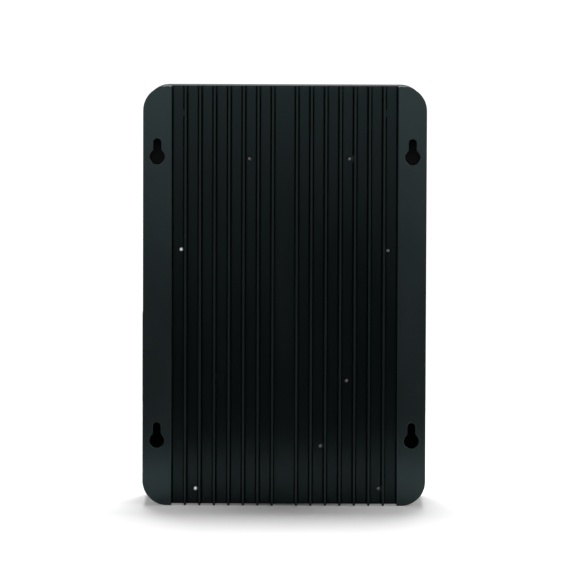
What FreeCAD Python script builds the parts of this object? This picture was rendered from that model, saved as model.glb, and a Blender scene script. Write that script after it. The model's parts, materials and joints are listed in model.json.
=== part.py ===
import FreeCAD, Part
import os
import re
import Sketcher

# Wall-mounted solar charge controller: a finned aluminium back with keyhole flanges, a plastic
# front cover with a display and four buttons, and a removable cover over the wiring terminals.
#
# Frame, in millimetres: +Z is up, the display faces -Y and the back of the fins lies in Y = 0.
# The origin is the middle of the four keyholes. Depths are counted forwards from the back, so a
# depth of 17 is Y = -17.

Vector = FreeCAD.Vector
TOWARDS_FRONT = FreeCAD.Rotation(Vector(1, 0, 0), 90)
TINY = 1e-6

# ---------------------------------------------------------------- driving dimensions
DIMENSIONS = {
    # how far a cut runs past the face it opens, and the smallest gap left between two pieces
    "over": 1, "hair": 0.1,
    # outline
    "width": 180, "top_up": 135.3, "foot_down": 131.7, "corner_radius": 15.5,
    # heatsink: base plate, side webs, mounting flanges and fins
    "fin_depth": 12, "base_front": 17, "flange_inner": 71.8, "flange_thick": 3, "web_thick": 3,
    "fin_thick": 1.4, "first_fin": 7.65, "fin_pitch": 9.24, "fin_root": 0.5, "fin_round": 0.35,
    "back_round": 0.35,
    # keyholes in the flanges
    "keyhole_x": 81, "keyhole_z": 90.3, "keyhole_radius": 4.75, "slot_half": 2.5, "slot_rise": 9.1,
    # M3 screws and the holes that take them
    "screw_radius": 1.4, "tapped_radius": 1.65, "blind_floor": 13.2, "head_radius": 2.75,
    "head_tall": 2.4, "tip_depth": 11.6, "blind_tip": 13.4, "tip_taper": 0.45,
    "clearance_radius": 1.8, "arm_reach": 0.6, "arm_half": 0.15,
    # plastic covers
    "cover_back": 3, "cover_front": 71, "front_wall": 3, "side_wall": 2.5, "sink_gap": 0.2,
    "shelf_thick": 2, "shelf_inner": 70, "edge_round": 5, "seam_z": -9.2, "seam_gap": 0.4,
    "tongue_tall": 5, "tongue_thick": 1.5, "slip": 0.3, "board_gap_half": 61.5,
    "column_radius": 4.4, "well_radius": 3.4, "cover_seat": 24, "terminal_seat": 26,
    "terminal_column_back": 17.3,
    "cover_proud": 0.3, "tab_proud": 0.8, "tab_tall": 2.5, "tab_back": 20, "tab_front": 50,
    "groove_half": 26, "groove_tall": 1.6, "groove_round": 0.75, "groove_deep": 0.7,
    "groove_pitch": 4.5, "groove_first": -20,
    # display panel
    "panel_half": 57.9, "panel_low": 12, "panel_high": 124, "panel_thick": 0.8, "panel_round": 4,
    "panel_slip": 0.1, "window_half": 36, "window_low": 57, "window_high": 101,
    "window_round": 1.5, "window_lap": 2,
    "lens_back": 68.2, "lens_front": 70.15, "lens_slip": 0.15, "bezel_rim": 4, "bezel_back": 64.5,
    "glass_back": 65.5, "backlight_back": 59.7, "backlight_front": 64.3, "inner_slip": 0.2,
    # buttons and status lights
    "button_z": 32, "button_pitch": 24, "button_radius": 5.5, "button_hole": 5.85,
    "button_top": 72, "button_rim": 6.9, "rim_back": 66.2, "rim_front": 67.6, "stem_radius": 2,
    "stem_back": 64.8, "button_round": 1.2,
    "light_z": 46, "light_pitch": 20, "light_radius": 1.5, "light_hole": 1.6,
    "light_back": 60.6, "light_front": 71.1, "light_flange": 2.4, "light_foot": 1.2,
    "lamp_half": 0.8, "lamp_tall": 0.8,
    "switch_half": 3, "switch_front": 63.2, "plunger_radius": 1.7, "plunger_front": 63.9,
    # display board
    "display_back": 58, "board_thick": 1.6, "display_half": 56, "display_low": 14,
    "display_high": 112, "boss_x": 52, "boss_low": 18, "boss_high": 108, "boss_radius": 3,
    "small_screw": 1, "small_hole": 1.1, "small_pass": 1.25, "small_head": 2,
    "small_head_tall": 1.6,
    "boss_hole_front": 66, "small_tip": 65,
    # ribbon cable between the two boards
    "plug_half": 7, "plug_low": 68, "plug_tall": 5, "plug_deep": 6, "ribbon_half": 6,
    "ribbon_thick": 1, "ribbon_run": 60, "ribbon_front": 55, "ribbon_back": 33.6,
    "bend_outer": 10.69, "bend_inner": 9.69,
    # main board
    "board_back": 29, "board_half": 60, "board_low": -83, "board_high": 128, "board_round": 2,
    "post_across": 3.2, "post_bore_back": 22, "board_screw_tip": 24,
    # power devices clamped to the heatsink
    "pad_thick": 0.4, "device_half": 5.1, "device_long": 15.5, "device_thick": 4.6,
    "upper_row": 66, "lower_row": -18, "inner_device": 24, "outer_device": 48, "pad_margin": 1,
    "leg_pitch": 2.54, "leg_thick": 0.8, "leg_reach": 3, "leg_back": 19.5,
    "bar_half": 54, "bar_tall": 8, "bar_thick": 1.6, "bar_screw_x": 36,
    # coils, capacitors and other parts on the main board
    "coil_x": 31, "coil_z": 42, "core_inner": 10, "core_outer": 18, "core_tall": 15,
    "turn_wire": 1.8, "turn_slip": 0.3, "turns": 18, "coil_lift": 3,
    "can_radius": 8, "can_tall": 24, "can_bead": 7.5, "can_groove": 3, "can_neck": 1,
    "input_can_z": 112, "input_can_pitch": 24, "output_can_z": 4, "output_can_pitch": 20,
    "fuse_z": -34, "fuse_pitch": 26, "fuse_first": -46, "fuse_half": 9.6, "fuse_tall": 6,
    "holder_deep": 9, "holder_floor": 2, "fuse_lift": 2.5, "fuse_proud": 7,
    "fuse_body_half": 9.1, "fuse_body_thick": 4,
    "shunt_x": 14, "shunt_pitch": 20, "shunt_z": -34, "shunt_half": 2.5, "shunt_long": 16,
    "shunt_lift": 3, "shunt_thick": 1.2,
    "chip_half": 6, "chip_thick": 1.6, "radio_half_x": 7, "radio_half_z": 10, "radio_x": 40,
    "radio_z": 96, "radio_thick": 2.6,
    # wiring terminals
    "pole_first": -52.2, "pole_pitch": 15.6, "block_left": -60, "block_right": 33.6,
    "block_top": -57, "block_front": 60, "cage_half": 5.9, "cage_low": -80.4, "cage_high": -70.4,
    "cage_back": 32, "cage_wall": 2, "cage_side": 1.4, "cage_front": 48, "cage_neck": 3,
    "cage_slip": 0.4, "cage_travel": 6,
    "bar_back": 42, "bar_front": 44, "bar_half_x": 4, "bar_low": -80, "bar_leg": 1.6,
    "bar_slip": 0.2,
    "entry_half": 4.5, "entry_back": 33.8, "entry_front": 41.8, "entry_top": -61.4,
    "clamp_radius": 2.5, "clamp_hole": 2.8, "clamp_back": 44.6, "clamp_head_back": 54.8,
    "clamp_head_front": 58.4, "clamp_head": 4, "head_hole": 4.4, "driver_hole": 3.5,
    "drive_deep": 1.8, "drive_half": 0.5, "drive_reach": 2.4,
    # sockets beside the terminals
    "data_left": 35.5, "data_right": 51.5, "data_top": -67, "data_deep": 13.5,
    "data_open_half": 5.9, "data_open_back": 33.6, "data_open_front": 40.6,
    "data_open_top": -69.5, "latch_half": 3, "latch_front": 42.2,
    "probe_left": 52.4, "probe_right": 59.6, "probe_top": -73, "probe_deep": 9,
    "probe_wall": 0.9,
    # cable notches in the foot of the terminal cover
    "notch_half": 6, "notch_front": 44, "notch_round": 5, "data_notch": 43.5,
    # earth screw
    "earth_washer": 4.6, "washer_thick": 1, "earth_head": 3.6, "earth_head_tall": 2.8,
    "earth_tip": 12.2,
}
POLES = 6
FINS_EACH_SIDE = 7
GROOVES = 5
SCREW_ROOM = "base_front - cover_back + fin_root"

# Places in the plane of the back, as (x, z).
PLACES = {
    # board posts: the first three come right through the heatsink, the others stop inside it
    "post": [(22.6, 89), (-41.2, 89), (-39.8, -52.6), (41.2, -50), (54, 122), (-54, 122)],
    # screws of the front cover: the first two come right through the heatsink
    "cover_screw": [(65.8, 31), (-65.8, 30.4), (65.8, 118), (-65.8, 118)],
    "terminal_screw": [(56.5, -122.1), (-60.6, -122.1)],
    "earth": [(-23.4, -94.7)],
    "chip": [(44, 8), (44, -30), (0, 90)],
}
THROUGH_POSTS = 3
THROUGH_COVER_SCREWS = 2

doc = FreeCAD.newDocument("ChargeController")
sheet = doc.addObject("Spreadsheet::Sheet", "Dims")


def fill_sheet():
    """Write each dimension and each place to its own named cell."""
    cells = dict(DIMENSIONS)
    for kind, pairs in PLACES.items():
        for count, (x, z) in enumerate(pairs, start=1):
            cells[f"{kind}_{count}_x"] = x
            cells[f"{kind}_{count}_z"] = z
    for row, (name, size) in enumerate(cells.items(), start=1):
        sheet.set(f"A{row}", name)
        sheet.set(f"B{row}", str(size))
        sheet.setAlias(f"B{row}", name)
    doc.recompute()
    return set(cells)


CELLS = fill_sheet()
nodes = []


# ---------------------------------------------------------------- helpers
def formula(text):
    """Turn 'width / 2' into the sheet's own 'Dims.width / 2'."""
    def cell(word):
        return "Dims." + word.group() if word.group() in CELLS else word.group()
    return re.sub(r"[a-z][a-z_0-9]*", cell, str(text))


def number(text):
    result = sheet.evalExpression(formula(text))
    return float(getattr(result, "Value", result))


def bind(thing, **sizes):
    for name, text in sizes.items():
        thing.setExpression(name, formula(text))


def place(thing, x, depth, z):
    """Put a piece's own origin at x, at a depth forwards of the back, and at z."""
    for axis, text in (("x", x), ("y", f"-({depth})"), ("z", z)):
        thing.setExpression(f".Placement.Base.{axis}", formula(text))


def spots(kind, first=1, last=None):
    last = last or len(PLACES[kind])
    return [(f"{kind}_{count}_x", f"{kind}_{count}_z") for count in range(first, last + 1)]


def block(name, x, depth, z):
    """A box between two values each of x, depth and z."""
    solid = doc.addObject("Part::Box", name)
    bind(solid, Length=f"{x[1]} - ({x[0]})", Width=f"{depth[1]} - ({depth[0]})",
         Height=f"{z[1]} - ({z[0]})")
    place(solid, x[0], depth[1], z[0])
    return solid


def rod(name, spot, depth, radius, sides=None):
    """A cylinder, or a prism with the given number of sides, that runs from back to front."""
    solid = doc.addObject("Part::Prism" if sides else "Part::Cylinder", name)
    solid.Placement.Rotation = TOWARDS_FRONT
    if sides:
        solid.Polygon = sides
        bind(solid, Circumradius=radius)
    else:
        bind(solid, Radius=radius)
    bind(solid, Height=f"{depth[1]} - ({depth[0]})")
    place(solid, spot[0], depth[0], spot[1])
    return solid


def taper(name, spot, depth, back_radius, front_radius):
    """A cone that runs from back to front."""
    solid = doc.addObject("Part::Cone", name)
    solid.Placement.Rotation = TOWARDS_FRONT
    bind(solid, Radius1=back_radius, Radius2=front_radius, Height=f"{depth[1]} - ({depth[0]})")
    place(solid, spot[0], depth[0], spot[1])
    return solid


def fuse(name, solids):
    joined = doc.addObject("Part::MultiFuse", name)
    joined.Shapes = solids
    return joined


def cut(name, base, tools):
    trimmed = doc.addObject("Part::Cut", name)
    trimmed.Base = base
    trimmed.Tool = tools[0] if len(tools) == 1 else fuse(name + "Tools", tools)
    return trimmed


def group(name, solids):
    together = doc.addObject("Part::Compound", name)
    together.Links = solids
    return together


def finish(piece, label):
    """Give a finished piece its own label, which names its file."""
    piece.Label = label
    nodes.append(piece)
    return piece


def between(first, last):
    """Two depths in order, from back to front."""
    return (first, last) if number(first) < number(last) else (last, first)


def screw(name, spot, seat, tip, radius="screw_radius", head="head_radius", tall="head_tall"):
    """A cross-drive screw whose head sits on seat; its shank ends in a small taper at tip."""
    forwards = number(seat) > number(tip)
    way = "+" if forwards else "-"
    neck = f"{tip} {way} tip_taper"
    top = f"{seat} {way} {tall}"
    radii = (f"{radius} - tip_taper", radius)
    shank = rod(name + "Shank", spot, between(neck, seat), radius)
    end = taper(name + "Tip", spot, between(tip, neck), *(radii if forwards else radii[::-1]))
    button = rod(name + "Head", spot, between(seat, top), head)
    mouth = between(f"{seat} {way} {tall} / 2", f"{top} {way} over")
    x, z = spot
    arms = []
    for across, up in (("arm_reach", "arm_half"), ("arm_half", "arm_reach")):
        arms.append(block(f"{name}Arm{len(arms)}",
                          (f"{x} - {head} * {across}", f"{x} + {head} * {across}"), mouth,
                          (f"{z} - {head} * {up}", f"{z} + {head} * {up}")))
    return cut(name, fuse(name + "Blank", [shank, end, button]), arms)


# ---------------------------------------------------------------- sketched bodies
def body(label):
    return doc.addObject("PartDesign::Body", label)


def sketch(piece, name, role, offset=0):
    """A sketch on one of the body's own planes, moved along the way that plane faces."""
    plane = next(feature for feature in piece.Origin.OriginFeatures if feature.Role == role)
    drawing = piece.newObject("Sketcher::SketchObject", name)
    drawing.AttachmentSupport = [(plane, "")]
    drawing.MapMode = "FlatFace"
    drawing.setExpression(".AttachmentOffset.Base.z", formula(offset))
    return drawing


def from_front(piece, name, depth):
    """A sketch seen from behind the display side: its axes are x and z, at the given depth."""
    return sketch(piece, name, "XZ_Plane", depth)


def hold(drawing, kind, *geometry, size):
    """Add one dimension to a sketch and bind it to the sheet."""
    index = drawing.addConstraint(Sketcher.Constraint(kind, *geometry, number(size)))
    drawing.setExpression(f"Constraints[{index}]", formula(size))


def outline(drawing, corners):
    """A closed loop of level and upright lines; a corner's third entry rounds it."""
    points = [Vector(number(corner[0]), number(corner[1]), 0) for corner in corners]
    radii = [number(corner[2]) if len(corner) > 2 else 0 for corner in corners]
    count = len(points)
    ways = [(points[(i + 1) % count] - points[i]).normalize() for i in range(count)]
    lines = []
    for i in range(count):
        start = points[i] + ways[i] * radii[i]
        end = points[(i + 1) % count] - ways[i] * radii[(i + 1) % count]
        lines.append(drawing.addGeometry(Part.LineSegment(start, end), False))
    for i, line in enumerate(lines):
        level = abs(ways[i].y) < TINY
        drawing.addConstraint(Sketcher.Constraint("Horizontal" if level else "Vertical", line))
        side = corners[i][1] if level else corners[i][0]
        hold(drawing, "DistanceY" if level else "DistanceX", -1, 1, line, 1, size=side)
    for i in range(count):
        before = lines[i - 1]
        if not radii[i]:
            drawing.addConstraint(Sketcher.Constraint("Coincident", before, 2, lines[i], 1))
            continue
        left_turn = ways[i - 1].cross(ways[i]).z > 0
        centre = points[i] + (ways[i] - ways[i - 1]) * radii[i]
        ends = [points[i] - ways[i - 1] * radii[i], points[i] + ways[i] * radii[i]]
        if not left_turn:
            ends.reverse()
        angles = [Vector(1, 0, 0).getAngle(end - centre) for end in ends]
        angles = [angle if (end - centre).y >= 0 else -angle for angle, end in zip(angles, ends)]
        circle = Part.Circle(centre, Vector(0, 0, 1), radii[i])
        arc = drawing.addGeometry(Part.ArcOfCircle(circle, *angles), False)
        first, second = (1, 2) if left_turn else (2, 1)
        drawing.addConstraint(Sketcher.Constraint("Tangent", before, 2, arc, first))
        drawing.addConstraint(Sketcher.Constraint("Tangent", arc, second, lines[i], 1))
        hold(drawing, "Radius", arc, size=corners[i][2])


def rectangle(drawing, x, z, radius=None):
    corner = (radius,) if radius else ()
    outline(drawing, [(x[0], z[0], *corner), (x[1], z[0], *corner), (x[1], z[1], *corner),
                      (x[0], z[1], *corner)])


def circle(drawing, spot, radius):
    ring = Part.Circle(Vector(number(spot[0]), number(spot[1]), 0), Vector(0, 0, 1),
                       number(radius))
    index = drawing.addGeometry(ring, False)
    hold(drawing, "DistanceX", -1, 1, index, 3, size=spot[0])
    hold(drawing, "DistanceY", -1, 1, index, 3, size=spot[1])
    hold(drawing, "Radius", index, size=radius)


def feature(piece, kind, name):
    return piece.newObject("PartDesign::" + kind, name)


def pad(piece, drawing, length):
    made = feature(piece, "Pad", drawing.Name + "Pad")
    made.Profile = drawing
    bind(made, Length=length)
    doc.recompute()
    return made


def pocket(piece, drawing, length):
    """Cut from the sketch's plane the way that plane faces, and see that it did cut."""
    before = piece.Shape.Volume
    made = feature(piece, "Pocket", drawing.Name + "Pocket")
    made.Profile = drawing
    made.Reversed = True
    bind(made, Length=length)
    doc.recompute()
    if piece.Shape.Volume > before - TINY:
        raise RuntimeError(f"{drawing.Name} cuts nothing")


def edges(piece, test):
    """Names of the edges whose middle and direction pass a test."""
    found = []
    for index, edge in enumerate(piece.Shape.Edges, start=1):
        first, last = edge.ParameterRange
        middle = edge.valueAt((first + last) / 2)
        if test(edge, middle):
            found.append(f"Edge{index}")
    return found


def soften(piece, name, chosen, radius):
    """Round the chosen edges."""
    base = piece.Tip
    made = feature(piece, "Fillet", name)
    made.Base = (base, chosen)
    bind(made, Radius=radius)
    doc.recompute()


def runs_along(edge, axis):
    start, end = edge.Vertexes[0].Point, edge.Vertexes[-1].Point
    run = end - start
    return run.Length > TINY and abs(abs(run.normalize().dot(axis)) - 1) < TINY


# ---------------------------------------------------------------- heatsink
def heatsink():
    piece = body("heatsink")
    profile = sketch(piece, "SinkProfile", "XY_Plane", "-foot_down")
    outer, inner, web = "width / 2", "flange_inner", "flange_inner + web_thick"
    outline(profile, [
        (f"-{outer}", 0), (f"-{outer}", "-flange_thick"), (f"-({web})", "-flange_thick"),
        (f"-({web})", "-base_front"), (web, "-base_front"), (web, "-flange_thick"),
        (outer, "-flange_thick"), (outer, 0), (inner, 0), (inner, "-fin_depth"),
        (f"-{inner}", "-fin_depth"), (f"-{inner}", 0)])
    pad(piece, profile, "foot_down + top_up")
    for side, sign in (("Left", 1), ("Right", -1)):
        fin = sketch(piece, f"Fin{side}", "XY_Plane", "-foot_down")
        near = f"{sign} * first_fin"
        rectangle(fin, (f"{near} - fin_thick / 2", f"{near} + fin_thick / 2"),
                  ("-fin_depth - fin_root", 0))
        first = pad(piece, fin, "foot_down + top_up")
        row = feature(piece, "LinearPattern", f"Fins{side}")
        row.Originals = [first]
        row.Direction = (fin, ["H_Axis"])
        row.Reversed = sign < 0
        row.Occurrences = FINS_EACH_SIDE
        bind(row, Length=f"fin_pitch * {FINS_EACH_SIDE - 1}")
        piece.Tip = row
        doc.recompute()
    holes = from_front(piece, "ThroughHoles", "fin_depth - fin_root")
    through = spots("post", last=THROUGH_POSTS) + spots("cover_screw", last=THROUGH_COVER_SCREWS)
    for spot in through + spots("terminal_screw") + spots("earth"):
        circle(holes, spot, "tapped_radius")
    pocket(piece, holes, "base_front - fin_depth + 2 * fin_root")
    blind = from_front(piece, "BlindHoles", "blind_floor")
    others = spots("post", first=THROUGH_POSTS + 1)
    others += spots("cover_screw", first=THROUGH_COVER_SCREWS + 1)
    for spot in others + bar_screw_spots():
        circle(blind, spot, "tapped_radius")
    pocket(piece, blind, "base_front - blind_floor + fin_root")
    for x in ("keyhole_x", "-keyhole_x"):
        for z in ("keyhole_z", "-keyhole_z"):
            name = f"Keyhole{len(piece.Group)}"
            entry = from_front(piece, name + "Entry", "-fin_root")
            circle(entry, (x, z), "keyhole_radius")
            pocket(piece, entry, "flange_thick + 2 * fin_root")
            slot = from_front(piece, name + "Slot", "-fin_root")
            rectangle(slot, (f"{x} - slot_half", f"{x} + slot_half"), (z, f"{z} + slot_rise"))
            pocket(piece, slot, "flange_thick + 2 * fin_root")
            end = from_front(piece, name + "End", "-fin_root")
            circle(end, (x, f"{z} + slot_rise"), "slot_half")
            pocket(piece, end, "flange_thick + 2 * fin_root")
    side = number("width / 2")
    soften(piece, "SinkCorners",
           edges(piece, lambda edge, middle: runs_along(edge, Vector(0, 1, 0))
                 and abs(abs(middle.x) - side) < TINY), "corner_radius")
    last_fin = number(f"first_fin + {FINS_EACH_SIDE - 1} * fin_pitch + fin_thick")
    soften(piece, "FinTips",
           edges(piece, lambda edge, middle: runs_along(edge, Vector(0, 0, 1))
                 and abs(middle.y) < TINY and abs(middle.x) < last_fin), "fin_round")
    soften(piece, "BackEdges",
           edges(piece, lambda edge, middle: abs(middle.y) < TINY and abs(middle.x) > last_fin),
           "back_round")
    return finish(piece, "heatsink")


def bar_screw_spots():
    """Screws of the two bars that clamp the power devices."""
    found = []
    for row in ("upper_row", "lower_row"):
        for x in ("-bar_screw_x", "0", "bar_screw_x"):
            found.append((x, f"{row} + device_long / 2"))
    return found


# ---------------------------------------------------------------- covers
def cover_outline(drawing, low, high, left, right, rounded_end, radius="corner_radius"):
    """A rectangle with two rounded corners, at its top or at its foot."""
    top_round = (radius,) if rounded_end == "top" else ()
    foot_round = (radius,) if rounded_end == "foot" else ()
    outline(drawing, [(left, low, *foot_round), (right, low, *foot_round),
                      (right, high, *top_round), (left, high, *top_round)])


def cover_shell(label, low, high, left, right, rounded_end):
    """The solid that a cover is hollowed from, its front edges rounded except at the seam."""
    piece = body(label)
    shell = from_front(piece, label + "Outline", "cover_back")
    cover_outline(shell, low, high, left, right, rounded_end)
    pad(piece, shell, "cover_front - cover_back")
    face, seam = number("-cover_front"), number("seam_z")
    soften(piece, label + "FrontEdge",
           edges(piece, lambda edge, middle: abs(middle.y - face) < TINY
                 and abs(middle.z - seam) > number("over")), "edge_round")
    return piece


def column(piece, name, spot, back, seat):
    """A hollow column from the front face down to the heatsink, with a seat for a screw head."""
    post = from_front(piece, name, back)
    circle(post, spot, "column_radius")
    pad(piece, post, f"cover_front - {back} - front_wall / 2")
    well = from_front(piece, name + "Well", seat)
    circle(well, spot, "well_radius")
    pocket(piece, well, f"cover_front - {seat} + fin_root")
    bore = from_front(piece, name + "Bore", f"{back} - fin_root")
    circle(bore, spot, "clearance_radius")
    pocket(piece, bore, f"{seat} - {back} + 2 * fin_root")


def front_cover():
    low, high, half = "seam_z", "top_up", "width / 2 - side_wall"
    inner_round = "corner_radius - side_wall"
    piece = cover_shell("front_cover", low, high, "-width / 2", "width / 2", "top")
    rear = from_front(piece, "ScrewHeadRoom", "cover_back - fin_root")
    cover_outline(rear, f"{low} - over", f"{high} - side_wall", f"-({half})", half, "top",
                  inner_round)
    pocket(piece, rear, SCREW_ROOM)
    saddle = from_front(piece, "SinkSaddle", "cover_back - fin_root")
    reach = "flange_inner + web_thick + sink_gap"
    rectangle(saddle, (f"-({reach})", reach), (f"{low} - over", f"{high} + over"))
    pocket(piece, saddle, SCREW_ROOM)
    mouth = from_front(piece, "ShelfMouth", "base_front - fin_root")
    rectangle(mouth, ("-shelf_inner", "shelf_inner"),
              (f"{low} + side_wall", f"{high} - side_wall"))
    pocket(piece, mouth, "shelf_thick + 2 * fin_root")
    room = from_front(piece, "BoardRoom", "base_front + shelf_thick")
    cover_outline(room, f"{low} + side_wall", f"{high} - side_wall", f"-({half})", half, "top",
                  inner_round)
    pocket(piece, room, "cover_front - front_wall - base_front - shelf_thick")
    gap = from_front(piece, "BoardGap", "base_front - fin_root")
    rectangle(gap, ("-board_gap_half", "board_gap_half"),
              (f"{low} - over", f"{low} + side_wall + over"))
    pocket(piece, gap, "board_back + board_thick - base_front + 2 * fin_root")
    # a tongue that the terminal cover closes over
    tongue = from_front(piece, "Tongue", "base_front + shelf_thick")
    reach = f"{half} - slip"
    rectangle(tongue, (f"-({reach})", reach), (f"{low} - tongue_tall", low))
    pad(piece, tongue, "cover_front - front_wall - slip - base_front - shelf_thick")
    hollow = from_front(piece, "TongueHollow", "base_front")
    reach = f"{half} - slip - tongue_thick"
    rectangle(hollow, (f"-({reach})", reach), (f"{low} - tongue_tall - over", low))
    pocket(piece, hollow, "cover_front - front_wall - slip - tongue_thick - base_front")
    for count, spot in enumerate(spots("cover_screw"), start=1):
        column(piece, f"Column{count}", spot, "base_front", "cover_seat")
    for count, spot in enumerate(boss_spots(), start=1):
        boss = from_front(piece, f"Boss{count}", "display_back + board_thick")
        circle(boss, spot, "boss_radius")
        pad(piece, boss, "cover_front - front_wall - display_back - board_thick + fin_root")
        bore = from_front(piece, f"Boss{count}Bore", "display_back")
        circle(bore, spot, "small_hole")
        pocket(piece, bore, "boss_hole_front - display_back")
    recess = from_front(piece, "PanelRecess", "cover_front - panel_thick")
    rectangle(recess, ("-panel_half - panel_slip", "panel_half + panel_slip"),
              ("panel_low - panel_slip", "panel_high + panel_slip"), "panel_round")
    pocket(piece, recess, "panel_thick + fin_root")
    front_holes(piece, "Cover", "cover_front - front_wall - fin_root", 0)
    return finish(piece, "front_cover")


def front_holes(piece, name, back, lap):
    """The display window, button holes and status light holes, cut forwards from back."""
    window = from_front(piece, name + "Window", back)
    rectangle(window, (f"-window_half + {lap}", f"window_half - {lap}"),
              (f"window_low + {lap}", f"window_high - {lap}"), "window_round")
    pocket(piece, window, f"cover_front - ({back}) + fin_root")
    holes = from_front(piece, name + "Holes", back)
    for spot in button_spots():
        circle(holes, spot, "button_hole")
    for spot in light_spots():
        circle(holes, spot, "light_hole")
    pocket(piece, holes, f"cover_front - ({back}) + fin_root")


def button_spots():
    return [(f"{step} * button_pitch", "button_z") for step in (-1.5, -0.5, 0.5, 1.5)]


def light_spots():
    return [(f"{step} * light_pitch", "light_z") for step in (-1, 0, 1)]


def pole_x(pole):
    return f"pole_first + {pole} * pole_pitch"


def terminal_cover():
    low, high = "-foot_down", "seam_z - seam_gap"
    left, right = "-width / 2", "width / 2 + cover_proud"
    piece = cover_shell("terminal_cover", low, high, left, right, "foot")
    room = from_front(piece, "WiringRoom", "cover_back - fin_root")
    cover_outline(room, f"{low} + side_wall", f"{high} + over", f"{left} + side_wall",
                  f"{right} - side_wall", "foot", "corner_radius - side_wall")
    pocket(piece, room, "cover_front - front_wall - cover_back + fin_root")
    saddle = from_front(piece, "FootSaddle", "cover_back - fin_root")
    reach = "flange_inner + web_thick + sink_gap"
    rectangle(saddle, (f"-({reach})", reach), (f"{low} - over", f"{low} + side_wall + over"))
    pocket(piece, saddle, SCREW_ROOM + " + sink_gap")
    notches = sketch(piece, "CableNotches", "XY_Plane", f"{low} - over")
    for x in [pole_x(pole) for pole in range(POLES)] + ["data_notch"]:
        near, far = "-base_front + fin_root", "-notch_front"
        outline(notches, [(f"{x} - notch_half", far, "notch_round"),
                          (f"{x} + notch_half", far, "notch_round"),
                          (f"{x} + notch_half", near), (f"{x} - notch_half", near)])
    pocket(piece, notches, "side_wall + 2 * over")
    for count, spot in enumerate(spots("terminal_screw"), start=1):
        column(piece, f"TerminalColumn{count}", spot, "terminal_column_back", "terminal_seat")
    tab = from_front(piece, "SideTab", "tab_back")
    rectangle(tab, (f"{right} - side_wall / 2", "width / 2 + tab_proud"),
              (f"{high} - tab_tall", high))
    pad(piece, tab, "tab_front - tab_back")
    for step in range(GROOVES):
        groove = from_front(piece, f"Groove{step}", "cover_front - groove_deep")
        middle = f"groove_first - {step} * groove_pitch"
        rectangle(groove, ("-groove_half", "groove_half"),
                  (f"{middle} - groove_tall / 2", f"{middle} + groove_tall / 2"),
                  "groove_round")
        pocket(piece, groove, "groove_deep + fin_root")
    return finish(piece, "terminal_cover")


# ---------------------------------------------------------------- display side
def fascia_panel():
    piece = body("fascia_panel")
    face = from_front(piece, "Fascia", "cover_front - panel_thick")
    rectangle(face, ("-panel_half", "panel_half"), ("panel_low", "panel_high"), "panel_round")
    pad(piece, face, "panel_thick")
    front_holes(piece, "Fascia", "cover_front - panel_thick - fin_root", "window_lap")
    return finish(piece, "fascia_panel")


def window_block(name, margin, depth):
    """A plate of the display window's size, smaller by a margin all round."""
    return block(name, (f"-window_half + {margin}", f"window_half - {margin}"), depth,
                 (f"window_low + {margin}", f"window_high - {margin}"))


def display_parts():
    front = "cover_front - front_wall"
    lens = body("display_lens")
    plate = from_front(lens, "LensPlate", "lens_back")
    rectangle(plate, ("-window_half + lens_slip", "window_half - lens_slip"),
              ("window_low + lens_slip", "window_high - lens_slip"), "window_round")
    pad(lens, plate, "lens_front - lens_back")
    finish(lens, "display_lens")
    rim = window_block("BezelRim", "-bezel_rim", ("bezel_back", f"{front} - hair"))
    hole = window_block("BezelHole", "0", ("bezel_back - over", f"{front} + over"))
    finish(cut("bezel", rim, [hole]), "display_bezel")
    finish(window_block("glass", "inner_slip", ("glass_back", f"{front} - hair")),
           "lcd_glass")
    finish(window_block("light", "-over", ("backlight_back", "backlight_front")),
           "lcd_backlight")


def button(label, spot):
    """A round key with a rim that stops it coming out and a stem that works its switch."""
    piece = body(label)
    profile = sketch(piece, label + "Profile", "YZ_Plane")
    outline(profile, [
        ("-stem_back", 0), ("-button_top", 0), ("-button_top", "button_radius", "button_round"),
        ("-rim_front", "button_radius"), ("-rim_front", "button_rim"),
        ("-rim_back", "button_rim"), ("-rim_back", "stem_radius"),
        ("-stem_back", "stem_radius")])
    turned = feature(piece, "Revolution", label + "Turned")
    turned.Profile = profile
    turned.ReferenceAxis = (profile, ["H_Axis"])
    turned.Angle = 360
    doc.recompute()
    place(piece, spot[0], 0, spot[1])
    return finish(piece, label)


def buttons():
    for name, spot in zip(("back", "down", "up", "enter"), button_spots()):
        button("button_" + name, spot)
    board_front = "display_back + board_thick"
    switches = []
    for count, (x, z) in enumerate(button_spots()):
        case = block(f"SwitchCase{count}", (f"{x} - switch_half", f"{x} + switch_half"),
                     (board_front, "switch_front"), (f"{z} - switch_half", f"{z} + switch_half"))
        plunger = rod(f"SwitchPlunger{count}", (x, z), (board_front, "plunger_front"),
                      "plunger_radius")
        switches.append(fuse(f"Switch{count}", [case, plunger]))
    finish(group("switches", switches), "button_switches")
    pipes, lamps = [], []
    for count, (x, z) in enumerate(light_spots()):
        pipe = rod(f"LightPipe{count}", (x, z), ("light_back", "light_front"),
                   "light_radius")
        foot = rod(f"LightFoot{count}", (x, z), ("light_back", "light_back + light_foot"),
                   "light_flange")
        pipes.append(fuse(f"Pipe{count}", [pipe, foot]))
        lamps.append(block(f"Lamp{count}", (f"{x} - light_radius", f"{x} + light_radius"),
                           (board_front, f"{board_front} + lamp_tall"),
                           (f"{z} - lamp_half", f"{z} + lamp_half")))
    finish(group("pipes", pipes), "light_pipes")
    finish(group("lamps", lamps), "status_leds")


def boss_spots():
    return [(x, z) for x in ("-boss_x", "boss_x") for z in ("boss_low", "boss_high")]


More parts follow.
